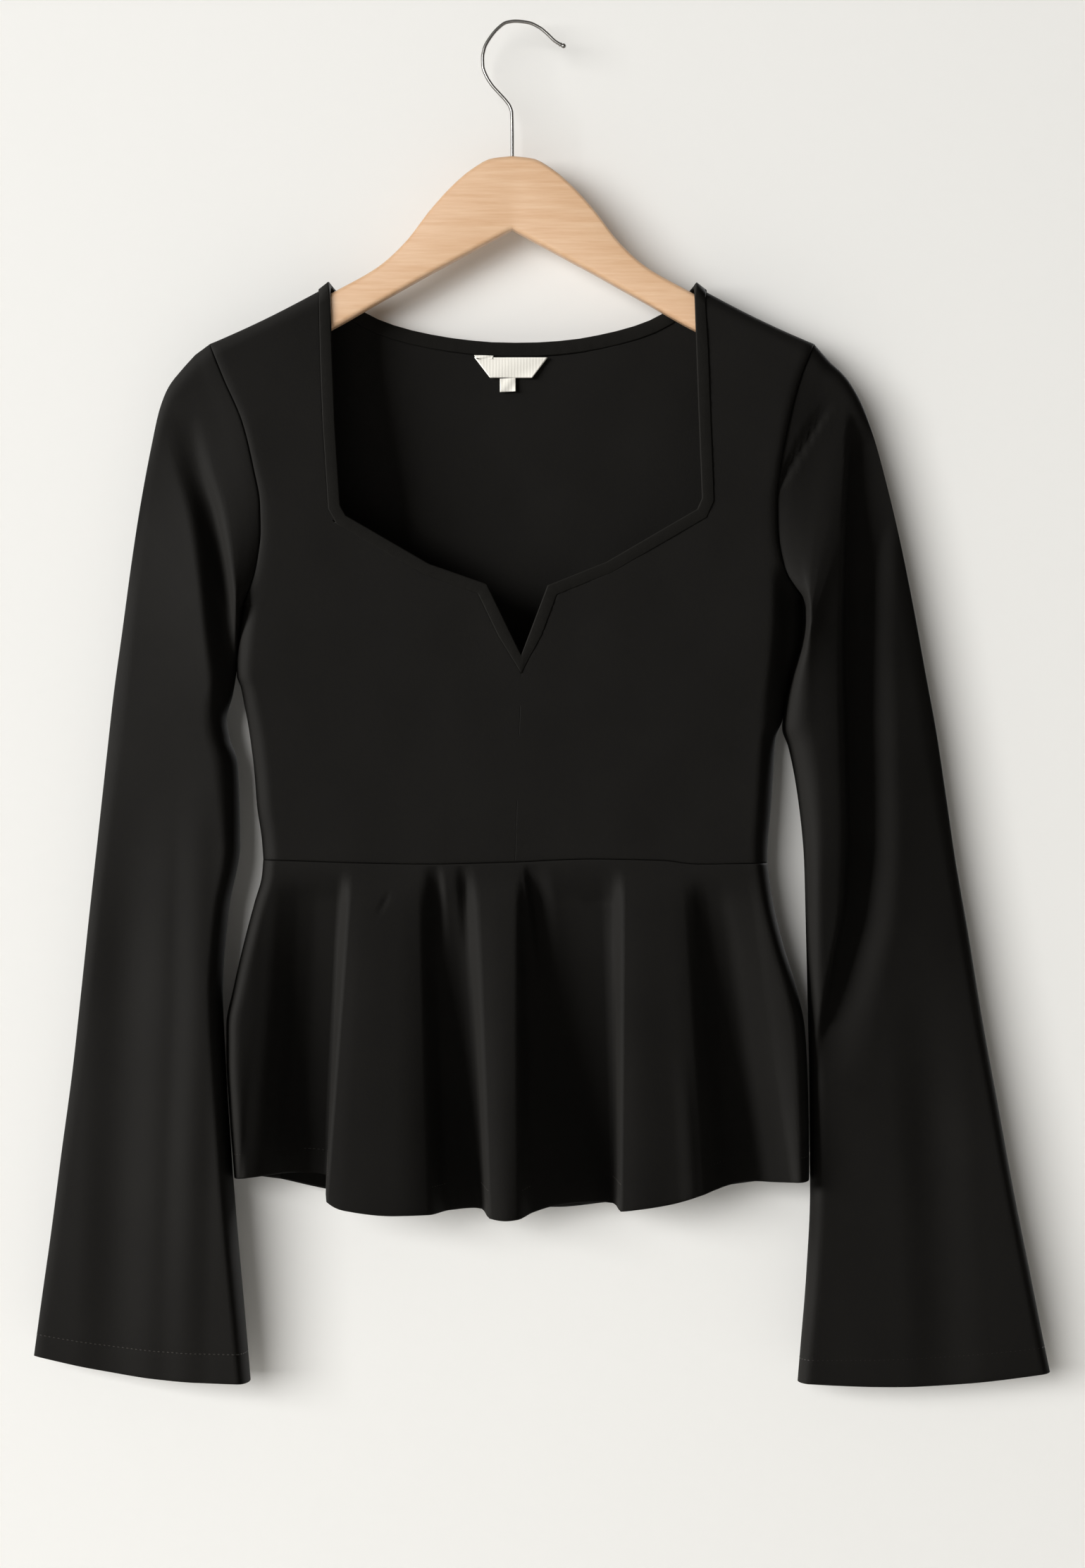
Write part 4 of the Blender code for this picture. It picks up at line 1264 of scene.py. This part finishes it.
def wood_material():
    """Steamed beech, sanded and clear-lacquered: pale pinkish tan with fine grain along the arm."""
    material, tree, place = start_material("lacquered beech")
    stretch = add_node(tree, "ShaderNodeMapping", {"Vector": place, "Scale": (0.06, 1.0, 1.0)})
    grain = noise_pattern(tree, stretch.outputs["Vector"], size_mm=2.2, detail=6.0, roughness=0.6)
    ramp = add_node(tree, "ShaderNodeValToRGB", {"Fac": grain})
    for stop, position, colour in zip(ramp.color_ramp.elements, (0.3, 0.7), ("#D6AA82", "#E4BF9B")):
        stop.position = position
        stop.color = linear(colour)
    return surfaced(material, tree, {
        "Base Color": ramp.outputs["Color"],
        "Roughness": 0.42,
        "IOR": 1.5,
        "Coat Weight": 0.15,
        "Coat Roughness": 0.3,
        "Normal": bump_normal(tree, grain, strength=0.12, depth_mm=0.15),
    })


def steel_material():
    """Bright-drawn steel wire, nickel-plated: grey mirror with faint drawing marks."""
    material, tree, place = start_material("nickel-plated wire")
    marks = noise_pattern(tree, place, size_mm=0.8, detail=3.0)
    return surfaced(material, tree, {
        "Base Color": linear("#8F8D8A"),
        "Metallic": 1.0,
        "Roughness": spread(tree, marks, 0.2, 0.3),
    })


def wall_material():
    """Matt emulsion on plaster, rolled: warm white, faintly stippled. It is clear from behind."""
    material, tree, place = start_material("rolled emulsion")
    stipple = noise_pattern(tree, place, size_mm=6.0, detail=4.0)
    paint = add_node(tree, "ShaderNodeBsdfPrincipled", {
        "Base Color": linear("#EFEEEB"),
        "Roughness": 0.9,
        "Specular IOR Level": 0.2,
        "Normal": bump_normal(tree, stipple, strength=0.12, depth_mm=0.3),
    })
    clear = add_node(tree, "ShaderNodeBsdfTransparent")
    facing = add_node(tree, "ShaderNodeNewGeometry")
    shown = add_node(tree, "ShaderNodeMixShader", {
        0: facing.outputs["Backfacing"],
        1: paint.outputs["BSDF"],
        2: clear.outputs["BSDF"],
    })
    add_node(tree, "ShaderNodeOutputMaterial", {"Surface": shown.outputs["Shader"]})
    return material


def light_only(light, lit, through_others=False):
    """Let a light fall on some pieces alone, with or without the shadows of the others."""
    group = bpy.data.collections.new("lit by " + light.name)
    for item in lit:
        group.objects.link(item)
    light.light_linking.receiver_collection = group
    if through_others:
        light.light_linking.blocker_collection = group


def studio():
    """Pale wall curving into a pale floor, a large soft light and the camera."""
    dressed = [item for item in bpy.context.scene.objects if item.type == "MESH"]
    wall_y = 31.8
    wall_top = -1600.0
    floor_drop = 1500.0
    floor_reach = 4500.0
    curve = 300.0
    curve_steps = 12
    breadth = (-3500.0, -1000.0, 0.0, 1000.0, 3500.0)
    profile = [(wall_y, wall_top), (wall_y, 0.0), (wall_y, floor_drop - curve)]
    for i in range(1, curve_steps):
        turn = radians(90.0 * i / curve_steps)
        profile.append((wall_y - curve * (1.0 - cos(turn)), floor_drop - curve * (1.0 - sin(turn))))
    profile += [(wall_y - curve, floor_drop), (wall_y - floor_reach, floor_drop)]
    rows = [[point(x, drop, y) for x in breadth] for y, drop in profile]
    bm = bmesh.new()
    laid_grid(bm, rows)
    bmesh.ops.recalc_face_normals(bm, faces=bm.faces)
    bm.faces.ensure_lookup_table()
    if bm.faces[0].normal.y > 0.0:
        bmesh.ops.reverse_faces(bm, faces=bm.faces)
    backdrop = finished("pale_wall_and_floor", bm, wall_material(), body=None)

    def soft_light(name, place, target, size, watts, colour):
        """A soft rectangular light turned toward a place, all in metres."""
        data = bpy.data.lights.new(name, "AREA")
        data.shape = "RECTANGLE"
        data.size, data.size_y = size
        data.energy = watts
        data.color = colour
        item = add_object(name, data)
        item.location = place
        item.rotation_mode = "QUATERNION"
        item.rotation_quaternion = (Vector(target) - Vector(place)).to_track_quat("-Z", "Y")
        return item

    daylight = (1.0, 1.0, 0.995)
    window = soft_light(
        "window_light", place=(-8.2, -3.0, 2.1), target=(0.0, 0.0, -0.45),
        size=(3.0, 3.0), watts=1980.0, colour=daylight,
    )
    hanger = [item for item in dressed if item.name in ("hanger_wood", "hook_wire")]
    cloth = [item for item in dressed if item not in hanger]
    light_only(window, cloth)
    wash = soft_light(
        "wall_light", place=(-4.0, -6.2, 0.5), target=(0.0, 0.0, -0.5),
        size=(6.0, 3.0), watts=550.0, colour=daylight,
    )
    light_only(wash, [backdrop] + hanger)
    back = soft_light(
        "back_light", place=(2.4, 2.9, 1.3), target=(0.0, 0.0, -0.45),
        size=(1.7, 1.7), watts=170.0, colour=(1.0, 1.0, 1.0),
    )
    light_only(back, cloth, through_others=True)

    world = bpy.data.worlds.new("soft room")
    bpy.context.scene.world = world
    world.use_nodes = True
    background = world.node_tree.nodes["Background"]
    background.inputs["Color"].default_value = linear("#F3EBE1")
    ray = add_node(world.node_tree, "ShaderNodeLightPath")
    strength = spread(world.node_tree, ray.outputs["Is Camera Ray"], 0.12, 0.85)
    world.node_tree.links.new(strength, background.inputs["Strength"])

    camera_data = bpy.data.cameras.new("camera")
    camera_data.sensor_width = 36.0
    distance = 2.2
    centre_x = 0.01935
    centre_z = -0.486
    view_height = IMAGE_HEIGHT * PIXEL * MM
    camera_data.lens = camera_data.sensor_width * distance / view_height
    camera = add_object("camera", camera_data)
    camera.location = (centre_x, -distance, centre_z)
    camera.rotation_euler = (radians(90.0), 0.0, 0.0)
    bpy.context.scene.camera = camera
    bpy.context.scene.view_settings.view_transform = "Standard"


def dress():
    """Make every visible piece, and hide each CAD part that a piece takes the place of."""
    knit = knit_material("black double knit", "#121110", "#1B1A18")
    band_knit = knit_material("black band knit", "#12110F", "#191816")
    thread = thread_material()
    satin = satin_material("off-white satin tape", "#E9E6DD")

    for face in (FRONT, BACK):
        name = FACE_NAME[face] + "_bodice"
        panel = cloth_sheet(name + "_cloth", [bodice_places(face, side) for side in (LEFT, RIGHT)], knit)
        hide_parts(name)

    for face in (FRONT, BACK):
        name = FACE_NAME[face] + "_peplum"
        panel = cloth_sheet(name + "_cloth", [peplum_places(face)], knit, PEPLUM_TURNED_ROWS)
        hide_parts(name)
        line = peplum_row(face, 1.0 - HEM_DEPTH / PEPLUM_LENGTH, peplum_columns(face))
        lifted = [place + Vector((0.0, face * THREAD_LIFT, 0.0)) for place in line[4:-4]]
        stitched_line(name + "_stitches", lifted, thread)

    for side in (LEFT, RIGHT):
        name = SIDE_NAME[side] + "_sleeve"
        tube = cloth_sheet(name + "_cloth", [sleeve_places(side)], knit, SLEEVE_TURNED_ROWS)
        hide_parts(name)
        shares, seam, length = sleeve_shares(side)
        at = len(SLEEVE_LINES[side]["outer_x"]) - HEM_DEPTH / CUFF_GAP[side]
        ring = sleeve_ring(side, at, shares, seam, length)
        lifted = [
            place + Vector((0.0, THREAD_LIFT if place.y > 0.0 else -THREAD_LIFT, 0.0)) for place in ring
        ]
        stitched_line(name + "_stitches", lifted, thread)

    for face in (FRONT, BACK):
        name = FACE_NAME[face] + "_neck_binding"
        width = BAND_WIDTH[face]
        band = neck_band(name + "_cloth", face, width, band_knit)
        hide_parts(name)

    label = tape(
        "neck_label_tape", satin, LABEL_TOP_DROP, LABEL_HEIGHT,
        widths=(LABEL_TOP_WIDTH, LABEL_FOOT_WIDTH), centre=LABEL_CENTRE, tilt=0.0,
    )
    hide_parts("neck_label")
    tab = tape(
        "size_tab_tape", satin, LABEL_TOP_DROP + LABEL_HEIGHT + SEAM, TAB_HEIGHT,
        widths=(TAB_WIDTH, TAB_WIDTH), centre=TAB_CENTRE, tilt=TAB_TILT,
    )
    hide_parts("size_tab")
    fold = tape(
        "neck_label_fold", satin, top_drop=LABEL_TOP_DROP - 1.3, height=2.0,
        widths=(12.4, 10.6), centre=-18.2, tilt=0.03,
    )
    tack_y = SEAM / 2.0 + panel_depth(BACK, LABEL_TOP_DROP) - WALL - TACK_DEPTH
    tack = [point(x, drop, tack_y) for x, drop in TACK_PLACES]
    stitched_line("neck_label_tack", tack, thread)

    wood = hanger_wood(wood_material())
    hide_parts("hanger_arm")
    wire = hook_wire(steel_material())
    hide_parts("hanger_hook")


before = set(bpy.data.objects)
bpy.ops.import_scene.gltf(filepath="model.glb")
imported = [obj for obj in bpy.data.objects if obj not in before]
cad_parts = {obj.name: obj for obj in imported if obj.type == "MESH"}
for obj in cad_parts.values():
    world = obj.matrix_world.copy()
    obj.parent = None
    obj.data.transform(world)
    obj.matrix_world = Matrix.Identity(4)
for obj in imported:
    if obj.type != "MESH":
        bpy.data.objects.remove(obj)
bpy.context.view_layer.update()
dress()
studio()
